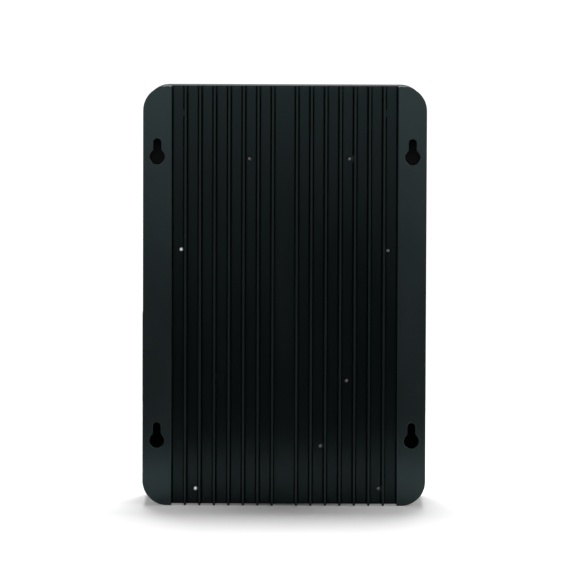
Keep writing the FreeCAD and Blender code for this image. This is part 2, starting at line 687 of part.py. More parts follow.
def display_board():
    piece = body("display_board")
    plate = from_front(piece, "DisplayPlate", "display_back")
    rectangle(plate, ("-display_half", "display_half"), ("display_low", "display_high"),
              "board_round")
    pad(piece, plate, "board_thick")
    holes = from_front(piece, "DisplayHoles", "display_back - fin_root")
    for spot in boss_spots():
        circle(holes, spot, "small_pass")
    pocket(piece, holes, "board_thick + 2 * fin_root")
    finish(piece, "display_board")
    screws = [screw(f"DisplayScrew{count}", spot, "display_back", "small_tip", "small_screw",
                    "small_head", "small_head_tall")
              for count, spot in enumerate(boss_spots())]
    finish(group("display_screws", screws), "display_board_screws")
    radio = block("Radio", ("radio_x - radio_half_x", "radio_x + radio_half_x"),
                  ("display_back - radio_thick", "display_back"),
                  ("radio_z - radio_half_z", "radio_z + radio_half_z"))
    finish(radio, "radio_module")


def ribbon():
    """A flat cable that leaves the display board's plug, turns back and enters the main board's."""
    tall = ("plug_low", "plug_low + plug_tall")
    wide = ("-plug_half", "plug_half")
    front = block("FrontPlug", wide, ("display_back - plug_deep", "display_back"), tall)
    board_front = "board_back + board_thick"
    back = block("BackPlug", wide, (board_front, f"{board_front} + plug_deep"), tall)
    finish(group("plugs", [front, back]), "ribbon_plugs")
    piece = body("ribbon_cable")
    loop = sketch(piece, "RibbonLoop", "YZ_Plane", "-ribbon_half")
    low = "ribbon_run - (ribbon_front - ribbon_back) / 2"
    outline(loop, [("-ribbon_front", "plug_low"), ("-ribbon_front", low, "bend_outer"),
                   ("-ribbon_back", low, "bend_outer"), ("-ribbon_back", "plug_low"),
                   ("-ribbon_back - ribbon_thick", "plug_low"),
                   ("-ribbon_back - ribbon_thick", f"{low} + ribbon_thick", "bend_inner"),
                   ("-ribbon_front + ribbon_thick", f"{low} + ribbon_thick", "bend_inner"),
                   ("-ribbon_front + ribbon_thick", "plug_low")])
    pad(piece, loop, "2 * ribbon_half")
    finish(piece, "ribbon_cable")


# ---------------------------------------------------------------- main board
def main_board():
    piece = body("main_board")
    plate = from_front(piece, "BoardPlate", "board_back")
    rectangle(plate, ("-board_half", "board_half"), ("board_low", "board_high"), "board_round")
    pad(piece, plate, "board_thick")
    holes = from_front(piece, "BoardHoles", "board_back - fin_root")
    for spot in spots("post"):
        circle(holes, spot, "tapped_radius")
    pocket(piece, holes, "board_thick + 2 * fin_root")
    finish(piece, "main_board")
    posts, screws = [], []
    board_front = "board_back + board_thick"
    for count, spot in enumerate(spots("post"), start=1):
        hexagon = rod(f"PostHex{count}", spot, ("base_front", "board_back"), "post_across", 6)
        bore = rod(f"PostBore{count}", spot, ("post_bore_back", "board_back + over"),
                   "tapped_radius")
        tip = "tip_depth" if count <= THROUGH_POSTS else "blind_tip"
        stud = rod(f"PostStud{count}", spot, (f"{tip} + tip_taper", "base_front"),
                   "screw_radius")
        end = taper(f"PostEnd{count}", spot, (tip, f"{tip} + tip_taper"),
                    "screw_radius - tip_taper", "screw_radius")
        posts.append(cut(f"Post{count}", fuse(f"PostBlank{count}", [hexagon, stud, end]),
                         [bore]))
        screws.append(screw(f"BoardScrew{count}", spot, board_front, "board_screw_tip"))
    finish(group("posts", posts), "board_posts")
    finish(group("board_screws_group", screws), "board_screws")


def device_spots():
    return [(x, row) for row in ("upper_row", "lower_row")
            for x in ("-outer_device", "-inner_device", "inner_device", "outer_device")]


def power_devices():
    """Power transistors on insulating pads, each row held down by a sprung bar."""
    pads, devices, bars, screws = [], [], [], []
    top = "base_front + pad_thick"
    for count, (x, z) in enumerate(device_spots()):
        pads.append(block(f"Pad{count}", (f"{x} - device_half - pad_margin",
                                          f"{x} + device_half + pad_margin"),
                          ("base_front", top), (f"{z} - pad_margin",
                                                f"{z} + device_long + pad_margin")))
        solids = [block(f"Device{count}", (f"{x} - device_half", f"{x} + device_half"),
                        (top, f"{top} + device_thick"), (z, f"{z} + device_long"))]
        for leg in (-1, 0, 1):
            near = f"{x} + {leg} * leg_pitch"
            wide = (f"{near} - leg_thick / 2", f"{near} + leg_thick / 2")
            solids.append(block(f"LegFlat{count}{leg + 1}", wide,
                                ("leg_back", "leg_back + leg_thick"), (f"{z} - leg_reach", z)))
            solids.append(block(f"LegUp{count}{leg + 1}", wide, ("leg_back", "board_back"),
                                (f"{z} - leg_reach", f"{z} - leg_reach + leg_thick")))
        devices.append(fuse(f"Transistor{count}", solids))
    under = f"{top} + device_thick"
    for row in ("upper_row", "lower_row"):
        middle = f"{row} + device_long / 2"
        bar = block("Bar" + row, ("-bar_half", "bar_half"), (under, f"{under} + bar_thick"),
                    (f"{middle} - bar_tall / 2", f"{middle} + bar_tall / 2"))
        through = (f"{under} - over", f"{under} + bar_thick + over")
        holes = [rod(f"BarHole{row}{count}", spot, through, "tapped_radius")
                 for count, spot in enumerate(bar_screw_spots()) if row in spot[1]]
        bars.append(cut("ClampBar" + row, bar, holes))
    for count, spot in enumerate(bar_screw_spots()):
        screws.append(screw(f"BarScrew{count}", spot, f"{under} + bar_thick",
                            "blind_tip"))
    finish(group("thermal_pads_group", pads), "thermal_pads")
    finish(group("transistors_group", devices), "power_transistors")
    finish(group("bars_group", bars), "clamp_bars")
    finish(group("bar_screws_group", screws), "clamp_bar_screws")


def coil(count, x):
    """A toroidal choke: a ring core with separate turns of thick wire round it."""
    board_front = "board_back + board_thick"
    back = f"{board_front} + coil_lift"
    front = f"{back} + core_tall"
    ring = rod(f"CoreRing{count}", (x, "coil_z"), (back, front), "core_outer")
    hole = rod(f"CoreHole{count}", (x, "coil_z"), (f"{back} - over", f"{front} + over"),
               "core_inner")
    core = cut(f"Core{count}", ring, [hole])
    winding = body(f"Winding{count}")
    turn = sketch(winding, f"Turn{count}", "YZ_Plane", "-turn_wire / 2")
    rectangle(turn, (f"-({front}) - turn_slip - turn_wire", f"-({back}) + turn_slip + turn_wire"),
              ("core_inner - turn_slip - turn_wire", "core_outer + turn_slip + turn_wire"),
              "turn_wire")
    rectangle(turn, (f"-({front}) - turn_slip", f"-({back}) + turn_slip"),
              ("core_inner - turn_slip", "core_outer + turn_slip"), "turn_slip")
    first = pad(winding, turn, "turn_wire")
    wound = feature(winding, "PolarPattern", f"Turns{count}")
    wound.Originals = [first]
    wound.Axis = (next(axis for axis in winding.Origin.OriginFeatures
                       if axis.Role == "Y_Axis"), [""])
    wound.Angle = 360
    bind(wound, Occurrences="turns")
    winding.Tip = wound
    doc.recompute()
    place(winding, x, 0, "coil_z")
    return core, winding


def can(name, spot):
    """An upright electrolytic capacitor with the rolled groove near its foot."""
    foot = "board_back + board_thick"
    return fuse(name, [
        rod(name + "Foot", spot, (foot, f"{foot} + can_groove"), "can_radius"),
        rod(name + "Neck", spot, (f"{foot} + can_groove", f"{foot} + can_groove + can_neck"),
            "can_bead"),
        rod(name + "Can", spot, (f"{foot} + can_groove + can_neck", f"{foot} + can_tall"),
            "can_radius")])


def board_parts():
    board_front = "board_back + board_thick"
    cores, windings = zip(*[coil(count, x) for count, x in enumerate(("-coil_x", "coil_x"))])
    finish(group("cores", list(cores)), "choke_cores")
    finish(group("windings", list(windings)), "choke_windings")
    inputs = [can(f"InputCan{count}", (f"{step} * input_can_pitch", "input_can_z"))
              for count, step in enumerate((-1.5, -0.5, 0.5, 1.5))]
    finish(group("inputs", inputs), "input_capacitors")
    outputs = [can(f"OutputCan{count}", (f"{step} * output_can_pitch", "output_can_z"))
               for count, step in enumerate((-2, -1, 0, 1))]
    finish(group("outputs", outputs), "output_capacitors")
    holders, fuses, shunts = [], [], []
    for count in range(2):
        x = f"fuse_first + {count} * fuse_pitch"
        shell = block(f"HolderShell{count}", (f"{x} - fuse_half", f"{x} + fuse_half"),
                      (board_front, f"{board_front} + holder_deep"),
                      ("fuse_z - fuse_tall", "fuse_z + fuse_tall"))
        room = block(f"HolderRoom{count}", (f"{x} - fuse_body_half - slip",
                                            f"{x} + fuse_body_half + slip"),
                     (f"{board_front} + holder_floor", f"{board_front} + holder_deep + over"),
                     ("fuse_z - fuse_body_thick / 2 - slip",
                      "fuse_z + fuse_body_thick / 2 + slip"))
        holders.append(cut(f"Holder{count}", shell, [room]))
        fuses.append(block(f"Fuse{count}", (f"{x} - fuse_body_half", f"{x} + fuse_body_half"),
                           (f"{board_front} + fuse_lift",
                            f"{board_front} + holder_deep + fuse_proud"),
                           ("fuse_z - fuse_body_thick / 2", "fuse_z + fuse_body_thick / 2")))
        near = f"shunt_x + {count} * shunt_pitch"
        wide = (f"{near} - shunt_half", f"{near} + shunt_half")
        top = f"{board_front} + shunt_lift"
        strip = block(f"ShuntTop{count}", wide, (top, f"{top} + shunt_thick"),
                      ("shunt_z - shunt_long / 2", "shunt_z + shunt_long / 2"))
        feet = [block(f"ShuntFoot{count}{end}", wide, (board_front, top), span)
                for end, span in enumerate((
                    ("shunt_z - shunt_long / 2", "shunt_z - shunt_long / 2 + shunt_thick"),
                    ("shunt_z + shunt_long / 2 - shunt_thick", "shunt_z + shunt_long / 2")))]
        shunts.append(fuse(f"Shunt{count}", [strip] + feet))
    finish(group("holders", holders), "fuse_holders")
    finish(group("fuses", fuses), "blade_fuses")
    finish(group("shunts", shunts), "current_shunts")
    chips = [block(f"Chip{count}", (f"{x} - chip_half", f"{x} + chip_half"),
                   (board_front, f"{board_front} + chip_thick"),
                   (f"{z} - chip_half", f"{z} + chip_half"))
             for count, (x, z) in enumerate(spots("chip"))]
    finish(group("chips", chips), "control_chips")


# ---------------------------------------------------------------- wiring terminals
def terminal_block():
    """An insulating block with a cell for each cable: cage room, entry, bar slot, head hole."""
    board_front = "board_back + board_thick"
    shell = block("BlockShell", ("block_left", "block_right"), (board_front, "block_front"),
                  ("board_low", "block_top"))
    tools = []
    for pole in range(POLES):
        x = pole_x(pole)
        slot = (f"{x} - bar_half_x - bar_slip", f"{x} + bar_half_x + bar_slip")
        tools += [
            block(f"CageRoom{pole}",
                  (f"{x} - cage_half - cage_slip", f"{x} + cage_half + cage_slip"),
                  ("cage_back - cage_slip", "cage_front + cage_travel + cage_slip"),
                  ("cage_low - cage_slip", "cage_high + cage_slip")),
            block(f"Entry{pole}", (f"{x} - entry_half", f"{x} + entry_half"),
                  ("entry_back", "entry_front"), ("board_low - over", "entry_top")),
            block(f"BarRoom{pole}", slot, ("bar_back - bar_slip", "bar_front + bar_slip"),
                  ("cage_low", "entry_top + bar_leg + bar_slip")),
            block(f"LegRoom{pole}", slot, (f"{board_front} - over", "bar_front + bar_slip"),
                  ("entry_top - bar_slip", "entry_top + bar_leg + bar_slip")),
            rod(f"HeadRoom{pole}", (x, "(cage_low + cage_high) / 2"),
                ("cage_front", "clamp_head_front + bar_slip"), "head_hole"),
            rod(f"DriverHole{pole}", (x, "(cage_low + cage_high) / 2"),
                ("clamp_head_front", "block_front + over"), "driver_hole")]
    finish(cut("block", shell, tools), "terminal_block")


def terminal_poles():
    """For each pole a copper bar, a rising cage and the captive screw that lifts it."""
    board_front = "board_back + board_thick"
    middle = "(cage_low + cage_high) / 2"
    bars = []
    for pole in range(POLES):
        x = pole_x(pole)
        wide = (f"{x} - bar_half_x", f"{x} + bar_half_x")
        flat = block(f"BarFlat{pole}", wide, ("bar_back", "bar_front"),
                     ("bar_low", "entry_top + bar_leg"))
        leg = block(f"BarLeg{pole}", wide, (board_front, "bar_front"),
                    ("entry_top", "entry_top + bar_leg"))
        bars.append(fuse(f"TerminalBar{pole}", [flat, leg]))
        cage = block(f"CageBlank{pole}", (f"{x} - cage_half", f"{x} + cage_half"),
                     ("cage_back", "cage_front"), ("cage_low", "cage_high"))
        window = block(f"CageWindow{pole}", (f"{x} - cage_half + cage_side",
                                             f"{x} + cage_half - cage_side"),
                       ("cage_back + cage_wall", "cage_front - cage_neck"),
                       ("cage_low - over", "cage_high + over"))
        thread = rod(f"CageThread{pole}", (x, middle),
                     ("cage_front - cage_neck - over", "cage_front + over"), "clamp_hole")
        finish(cut(f"cage{pole}", cage, [window, thread]), f"terminal_cage_{pole + 1}")
        shank = rod(f"ClampShank{pole}", (x, middle), ("clamp_back", "clamp_head_back"),
                    "clamp_radius")
        head = rod(f"ClampHead{pole}", (x, middle), ("clamp_head_back", "clamp_head_front"),
                   "clamp_head")
        mouth = ("clamp_head_front - drive_deep", "clamp_head_front + over")
        slots = [block(f"DriveA{pole}", (f"{x} - clamp_head - over", f"{x} + clamp_head + over"),
                       mouth, (f"{middle} - drive_half", f"{middle} + drive_half")),
                 block(f"DriveB{pole}", (f"{x} - drive_half", f"{x} + drive_half"), mouth,
                       (f"{middle} - drive_reach", f"{middle} + drive_reach"))]
        finish(cut(f"clamp{pole}", fuse(f"ClampBlank{pole}", [shank, head]), slots),
               f"terminal_screw_{pole + 1}")
    finish(group("terminal_bars_group", bars), "terminal_bars")


def sockets():
    board_front = "board_back + board_thick"
    data = block("DataShell", ("data_left", "data_right"),
                 (board_front, f"{board_front} + data_deep"), ("board_low", "data_top"))
    middle = "(data_left + data_right) / 2"
    hole = block("DataHole", (f"{middle} - data_open_half", f"{middle} + data_open_half"),
                 ("data_open_back", "data_open_front"), ("board_low - over", "data_open_top"))
    latch = block("DataLatch", (f"{middle} - latch_half", f"{middle} + latch_half"),
                  ("data_open_back", "latch_front"), ("board_low - over", "data_open_top"))
    finish(cut("data", data, [hole, latch]), "data_socket")
    probe = block("ProbeShell", ("probe_left", "probe_right"),
                  (board_front, f"{board_front} + probe_deep"), ("board_low", "probe_top"))
    room = block("ProbeRoom", ("probe_left + probe_wall", "probe_right - probe_wall"),
                 (f"{board_front} + probe_wall", f"{board_front} + probe_deep - probe_wall"),
                 ("board_low - over", "probe_top - probe_wall"))
    finish(cut("probe", probe, [room]), "sensor_socket")


# ---------------------------------------------------------------- screws that hold the covers
def cover_fixings():
    screws = [screw(f"CoverScrew{count}", spot, "cover_seat",
                    "tip_depth" if count < THROUGH_COVER_SCREWS else "blind_tip")
              for count, spot in enumerate(spots("cover_screw"))]
    finish(group("cover_screws_group", screws), "front_cover_screws")
    captive = [screw(f"TerminalCoverScrew{count}", spot, "terminal_seat", "tip_depth")
               for count, spot in enumerate(spots("terminal_screw"))]
    finish(group("captive_group", captive), "terminal_cover_screws")
    spot = spots("earth")[0]
    washer_front = "base_front + washer_thick"
    disc = rod("WasherDisc", spot, ("base_front", washer_front), "earth_washer")
    hole = rod("WasherHole", spot, ("base_front - over", f"{washer_front} + over"),
               "tapped_radius")
    finish(cut("washer", disc, [hole]), "earth_washer")
    finish(screw("earth", spot, washer_front, "earth_tip", head="earth_head",
                 tall="earth_head_tall"), "earth_screw")


# ---------------------------------------------------------------- build, test and write
def test_and_write():
    """Refuse to write anything if one object failed or one shape is null or invalid."""
    doc.recompute()
    for thing in doc.Objects:
        if {"Invalid", "Error"} & set(thing.State):
            raise RuntimeError(f"{thing.Name} failed: {thing.State}")
    labels = [node.Label for node in nodes]
    if len(set(labels)) != len(labels):
        raise RuntimeError("two pieces share a label")
    for node in nodes:
        if node.Shape.isNull() or not node.Shape.isValid() or not node.Shape.Solids:
            raise RuntimeError(f"{node.Label} has no valid solid")
    os.makedirs("parts", exist_ok=True)
    for node in nodes:
        node.Shape.exportStep(f"parts/{node.Label}.step")
        print(node.Label, len(node.Shape.Solids), round(node.Shape.Volume, 1))


heatsink()
front_cover()
terminal_cover()
fascia_panel()
display_parts()
buttons()
display_board()
ribbon()
main_board()
power_devices()
board_parts()
terminal_block()
terminal_poles()
sockets()
cover_fixings()
test_and_write()
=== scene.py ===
import json
import math
import random
import bmesh
import bpy
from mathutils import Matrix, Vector


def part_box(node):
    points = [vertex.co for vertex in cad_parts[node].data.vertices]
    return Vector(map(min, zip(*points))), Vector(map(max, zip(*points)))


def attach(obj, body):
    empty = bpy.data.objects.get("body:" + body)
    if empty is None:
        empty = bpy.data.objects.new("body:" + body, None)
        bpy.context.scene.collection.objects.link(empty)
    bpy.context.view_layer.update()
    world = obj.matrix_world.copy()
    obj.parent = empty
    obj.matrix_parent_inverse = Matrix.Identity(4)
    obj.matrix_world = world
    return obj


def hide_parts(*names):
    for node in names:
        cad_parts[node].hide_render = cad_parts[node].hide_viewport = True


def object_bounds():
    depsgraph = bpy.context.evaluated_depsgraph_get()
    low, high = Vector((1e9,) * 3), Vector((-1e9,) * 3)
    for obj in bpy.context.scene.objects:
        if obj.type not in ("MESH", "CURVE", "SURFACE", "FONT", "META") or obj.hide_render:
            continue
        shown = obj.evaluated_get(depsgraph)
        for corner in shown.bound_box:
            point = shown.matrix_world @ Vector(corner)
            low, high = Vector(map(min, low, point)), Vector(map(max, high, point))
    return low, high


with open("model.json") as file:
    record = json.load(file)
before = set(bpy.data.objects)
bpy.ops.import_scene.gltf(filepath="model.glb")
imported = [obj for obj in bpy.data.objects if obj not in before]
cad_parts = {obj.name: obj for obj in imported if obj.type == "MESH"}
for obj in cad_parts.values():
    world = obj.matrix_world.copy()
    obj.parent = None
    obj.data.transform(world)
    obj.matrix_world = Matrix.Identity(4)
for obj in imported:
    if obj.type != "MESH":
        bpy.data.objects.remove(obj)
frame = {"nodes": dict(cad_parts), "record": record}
CAD_LOW, CAD_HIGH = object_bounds()
MM = 0.001

# ---------------------------------------------------------------- camera, floor and light
CAMERA_AWAY = 2.93
CAMERA_ABOVE = 0.1935
CAMERA_LENS = 294.5
CAMERA_SENSOR = 36
CAMERA_REACH = 20
CAMERA_ROLL = math.radians(0.19)
AIM_ASIDE = 0.0013
AIM_ABOVE = 0.0089
FLOOR_FRONT = 0.285
FLOOR_BACK = -0.75
FLOOR_HALF = 0.62
ROOM_LIGHT = 0.02
ROOM_COLOUR = (0.95, 0.98, 1, 1)
GROUND_WHITE = 1.1
# the floor glows less near the foot, which paints a shadow under the object: its strength there
# and further out, how far out in metres, and how much a distance counts along x, y and z
FLOOR_GLOW_PAINTED_SHADOW = (0.0, 0.27)
PAINTED_SHADOW_REACH = (0.0, 0.105)
PAINTED_SHADOW_SHAPE = (1, 0.7, 0)
FLOOR_BOUNCE = (0.55, 0.55, 0.55, 1)
FOOT = CAD_LOW[2] - 0.0002
# name: where it hangs, what it faces, its width and height, its power
LIGHTS = {
    "CardFar": ((0, 2.7, 0.80), (0, 0, 0.80), (2.6, 1.6), 8.6),
    "HighLeft": ((0.55, 0.3, 0.5), (0, 0, 0.1), (0.3, 0.4), 0.6),
    "HighRight": ((-0.55, 0.3, 0.5), (0, 0, 0.1), (0.3, 0.4), 1.2),
    "SideLeft": ((0.9, 0.3, 0.1), (0, 0, 0), (0.3, 0.8), 0.6),
    "SideRight": ((-0.9, 0.3, 0.1), (0, 0, 0), (0.3, 0.8), 0.8),
    "Overhead": ((0, -0.45, 1.3), (0, 0, FOOT), (0.6, 0.5), 15),
    "CardInFront": ((0, -1.6, 2.0), (0, 0, 0), (1.0, 1.0), 30),
}


def add_camera():
    camera = bpy.data.objects.new("Camera", bpy.data.cameras.new("Camera"))
    camera.data.lens = CAMERA_LENS
    camera.data.sensor_width = CAMERA_SENSOR
    camera.data.clip_end = CAMERA_REACH
    centre = (Vector(CAD_LOW) + Vector(CAD_HIGH)) / 2
    camera.location = (0, CAMERA_AWAY, centre.z + CAMERA_ABOVE)
    aim = Vector((AIM_ASIDE, 0, centre.z + AIM_ABOVE))
    camera.rotation_euler = (aim - camera.location).to_track_quat("-Z", "Y").to_euler()
    camera.rotation_euler.rotate_axis("Z", CAMERA_ROLL)
    bpy.context.scene.collection.objects.link(camera)
    bpy.context.scene.camera = camera


def add_lights():
    for name, (place, aim, size, power) in LIGHTS.items():
        light = bpy.data.objects.new(name, bpy.data.lights.new(name, "AREA"))
        light.data.shape = "RECTANGLE"
        light.data.size, light.data.size_y = size
        light.data.energy = power
        light.location = place
        light.rotation_euler = (Vector(aim) - Vector(place)).to_track_quat("-Z", "Y").to_euler()
        bpy.context.scene.collection.objects.link(light)


def add_world():
    """White behind the object as the camera sees it, and a dim room for everything else."""
    world = bpy.data.worlds.new("Studio")
    world.use_nodes = True
    tree = world.node_tree
    tree.nodes.clear()
    path = tree.nodes.new("ShaderNodeLightPath")
    seen = tree.nodes.new("ShaderNodeBackground")
    seen.inputs["Color"].default_value = (1, 1, 1, 1)
    seen.inputs["Strength"].default_value = GROUND_WHITE
    room = tree.nodes.new("ShaderNodeBackground")
    room.inputs["Color"].default_value = ROOM_COLOUR
    room.inputs["Strength"].default_value = ROOM_LIGHT
    mix = tree.nodes.new("ShaderNodeMixShader")
    out = tree.nodes.new("ShaderNodeOutputWorld")
    tree.links.new(path.outputs["Is Camera Ray"], mix.inputs[0])
    tree.links.new(room.outputs[0], mix.inputs[1])
    tree.links.new(seen.outputs[0], mix.inputs[2])
    tree.links.new(mix.outputs[0], out.inputs["Surface"])
    bpy.context.scene.world = world
    bpy.context.scene.view_settings.view_transform = "Standard"


def add_floor():
    """A white floor to the camera, which throws less light back up at the object; its glow fades
    towards the object's foot, a painted shadow.
    """
    mesh = bpy.data.meshes.new("Floor")
    corners = [(-FLOOR_HALF, FLOOR_BACK, FOOT), (FLOOR_HALF, FLOOR_BACK, FOOT),
               (FLOOR_HALF, FLOOR_FRONT, FOOT), (-FLOOR_HALF, FLOOR_FRONT, FOOT)]
    mesh.from_pydata(corners, [], [(0, 1, 2, 3)])
    floor = bpy.data.objects.new("Floor", mesh)
    bpy.context.scene.collection.objects.link(floor)
    surface = Surface("FloorPaint", roughness=0.9)
    surface.colour(surface.noise(6, detail=2), (0.93, 0.93, 0.93), (0.96, 0.96, 0.96))
    surface.shader.inputs["Emission Color"].default_value = (1, 1, 1, 1)
    # less glow near the foot: a painted shadow on the floor under the object
    away = surface.add("ShaderNodeVectorMath", operation="LENGTH")
    surface.link(surface.mapped(PAINTED_SHADOW_SHAPE), away.inputs[0])
    surface.link(surface.spread(away.outputs["Value"], *FLOOR_GLOW_PAINTED_SHADOW, *PAINTED_SHADOW_REACH),
                 surface.shader.inputs["Emission Strength"])
    bounce = surface.add("ShaderNodeBsdfDiffuse")
    bounce.inputs["Color"].default_value = FLOOR_BOUNCE
    seen = surface.add("ShaderNodeMixShader")
    surface.link(surface.add("ShaderNodeLightPath").outputs["Is Camera Ray"], seen.inputs[0])
    surface.link(bounce.outputs[0], seen.inputs[1])
    surface.link(surface.shader.outputs[0], seen.inputs[2])
    surface.link(seen.outputs[0], surface.output)
    floor.data.materials.append(surface.finish())


# ---------------------------------------------------------------- materials
# the part of a noise texture's range that holds most of its values
DARK_END = 0.3
LIGHT_END = 0.7


class Surface:
    """A Principled material whose varying inputs come from textures fixed to the object."""

    SOCKETS = {
        "metallic": "Metallic", "roughness": "Roughness", "ior": "IOR",
        "specular": "Specular IOR Level", "tint": "Specular Tint", "coat": "Coat Weight",
        "coat_roughness": "Coat Roughness", "transmission": "Transmission Weight",
    }

    def __init__(self, name, **constants):
        self.material = bpy.data.materials.new(name)
        self.material.use_nodes = True
        self.tree = self.material.node_tree
        self.tree.nodes.clear()
        self.shader = self.add("ShaderNodeBsdfPrincipled")
        self.output = self.add("ShaderNodeOutputMaterial").inputs["Surface"]
        self.link(self.shader.outputs[0], self.output)
        self.place = self.add("ShaderNodeTexCoord").outputs["Object"]
        self.bumps = None
        for name, value in constants.items():
            socket = self.shader.inputs[self.SOCKETS[name]]
            socket.default_value = (*value, 1) if isinstance(value, tuple) else value

    def add(self, kind, **settings):
        node = self.tree.nodes.new(kind)
        for key, value in settings.items():
            setattr(node, key, value)
        return node

    def link(self, start, end):
        self.tree.links.new(start, end)

    def mapped(self, stretch):
        node = self.add("ShaderNodeMapping")
        node.inputs["Scale"].default_value = stretch
        self.link(self.place, node.inputs["Vector"])
        return node.outputs[0]

    def noise(self, scale, stretch=(1, 1, 1), detail=4):
        node = self.add("ShaderNodeTexNoise")
        node.inputs["Scale"].default_value = scale
        node.inputs["Detail"].default_value = detail
        self.link(self.mapped(stretch), node.inputs["Vector"])
        return node.outputs["Fac"]

    def cells(self, scale, stretch=(1, 1, 1), feature="F1"):
        node = self.add("ShaderNodeTexVoronoi", feature=feature)
        node.inputs["Scale"].default_value = scale
        self.link(self.mapped(stretch), node.inputs["Vector"])
        return node.outputs["Distance"]

    def bands(self, scale):
        """Straight bands across the width of the object."""
        node = self.add("ShaderNodeTexWave", bands_direction="X")
        node.inputs["Scale"].default_value = scale
        self.link(self.place, node.inputs["Vector"])
        return node.outputs["Fac"]

    def along(self, axis):
        node = self.add("ShaderNodeSeparateXYZ")
        self.link(self.place, node.inputs[0])
        return node.outputs[axis]

    def spread(self, factor, low, high, start=DARK_END, end=LIGHT_END):
        """Map start..end of a texture onto low..high."""
        node = self.add("ShaderNodeMapRange")
        for name, value in (("From Min", start), ("From Max", end), ("To Min", low),
                            ("To Max", high)):
            node.inputs[name].default_value = value
        self.link(factor, node.inputs["Value"])
        return node.outputs["Result"]

    def ramp(self, factor, low, high):
        node = self.add("ShaderNodeValToRGB")
        spots = (DARK_END, LIGHT_END)
        for element, spot, colour in zip(node.color_ramp.elements, spots, (low, high)):
            element.position = spot
            element.color = (*colour, 1)
        self.link(factor, node.inputs["Fac"])
        return node.outputs["Color"]

    def mix(self, factor, first, second):
        node = self.add("ShaderNodeMix", data_type="RGBA")
        self.link(factor, node.inputs["Factor"])
        self.link(first, node.inputs["A"])
        self.link(second, node.inputs["B"])
        return node.outputs["Result"]

    def colour(self, factor, low, high):
        self.paint(self.ramp(factor, low, high))

    def paint(self, colour):
        self.link(colour, self.shader.inputs["Base Color"])

    def roughness(self, factor, low, high):
        self.link(self.spread(factor, low, high), self.shader.inputs["Roughness"])

    def bump(self, height, depth):
        """Raise the surface by up to depth, in metres; bumps stack."""
        node = self.add("ShaderNodeBump")
        node.inputs["Distance"].default_value = depth
        self.link(height, node.inputs["Height"])
        if self.bumps:
            self.link(self.bumps, node.inputs["Normal"])
        self.bumps = node.outputs[0]

    def finish(self):
        if self.bumps:
            self.link(self.bumps, self.shader.inputs["Normal"])
        return self.material


# where the flanges begin, in metres from the middle, as a short blend
FLANGE_EDGE = (0.0708, 0.0716)


def anodised_black():
    """Black anodised extrusion, faintly teal, with paler and glossier flanges."""
    surface = Surface("AnodisedBlack", tint=(0.70, 1.0, 1.03))
    cloud = surface.noise(30, stretch=(1, 1, 0.35), detail=3)
    drawn = surface.noise(1, stretch=(900, 900, 6), detail=2)
    # the flanges get a paler colour than the fins and the channel floors
    fin_and_channel_tone = surface.ramp(cloud, (0.0130, 0.0180, 0.0185), (0.0180, 0.0240, 0.0246))
    flange_tone = surface.ramp(cloud, (0.0185, 0.0255, 0.0262), (0.0240, 0.0320, 0.0328))
    from_middle = surface.add("ShaderNodeMath", operation="ABSOLUTE")
    surface.link(surface.along("X"), from_middle.inputs[0])
    flange = surface.spread(from_middle.outputs[0], 0, 1, *FLANGE_EDGE)
    surface.paint(surface.mix(flange, fin_and_channel_tone, flange_tone))
    surface.link(surface.spread(flange, 0.42, 0.78, 0, 1),
                 surface.shader.inputs["Specular IOR Level"])
    surface.roughness(cloud, 0.15, 0.19)
    surface.bump(drawn, 0.0000012)
    surface.bump(surface.noise(5200, detail=2), 0.000004)
    return surface.finish()


def plastic(name, low, high, grain=2600, depth=0.00003, rough=(0.42, 0.52), **constants):
    """Moulded plastic: a spark-eroded grain over slow changes of tone."""
    surface = Surface(name, **{"specular": 0.45, **constants})
    surface.colour(surface.noise(22, detail=3), low, high)
    surface.roughness(surface.noise(300, detail=2), *rough)
    surface.bump(surface.noise(grain, detail=2), depth)
    return surface.finish()


def metal(name, low, high, rough, brushed=(900, 900, 900)):
    """Metal with fine scratches, drawn out along one axis where it is brushed."""
    surface = Surface(name, metallic=1.0)
    surface.colour(surface.noise(160, detail=3), low, high)
    grain = surface.noise(1, stretch=brushed, detail=3)
    surface.roughness(grain, *rough)
    surface.bump(grain, 0.000004)
    return surface.finish()


def cover_plastic():
    """Charcoal cover: a pebbled mould texture, faint flow marks and dust in the grain."""
    surface = Surface("CoverPlastic", specular=0.32)
    flow = surface.noise(9, stretch=(1, 1, 2.5), detail=4)
    pebble = surface.cells(1500)
    base = surface.ramp(flow, (0.0160, 0.0190, 0.0206), (0.0180, 0.0212, 0.0229))
    dust = surface.ramp(flow, (0.0225, 0.0255, 0.0270), (0.0255, 0.0286, 0.0302))
    surface.paint(surface.mix(surface.spread(pebble, 0, 0.6, 0.5, 0.95), base, dust))
    surface.roughness(surface.noise(240, detail=3), 0.48, 0.52)
    surface.bump(pebble, 0.00003)
    surface.bump(surface.noise(3600, detail=2), 0.000012)
    return surface.finish()


def circuit_board():
    """Solder mask over copper: tracks as raised, paler lanes, with a woven board under it."""
    surface = Surface("CircuitBoard", specular=0.5, coat=0.35, coat_roughness=0.12)
    lanes = surface.cells(150, stretch=(1, 1, 0.4), feature="DISTANCE_TO_EDGE")
    copper = surface.spread(lanes, 1, 0, 0.03, 0.05)
    weave = surface.noise(1, stretch=(2400, 40, 2400), detail=1)
    mask = surface.ramp(weave, (0.004, 0.040, 0.022), (0.006, 0.052, 0.028))
    track = surface.ramp(weave, (0.010, 0.085, 0.042), (0.013, 0.098, 0.048))
    surface.paint(surface.mix(copper, mask, track))
    surface.roughness(surface.noise(90, detail=2), 0.26, 0.38)
    surface.bump(copper, 0.00004)
    return surface.finish()


def liquid_crystal():
    surface = Surface("LiquidCrystal", specular=0.5)
    surface.colour(surface.noise(60, detail=2), (0.30, 0.37, 0.30), (0.34, 0.41, 0.33))
    surface.roughness(surface.noise(400, detail=2), 0.16, 0.24)
    surface.bump(surface.bands(500), 0.000003)
    return surface.finish()


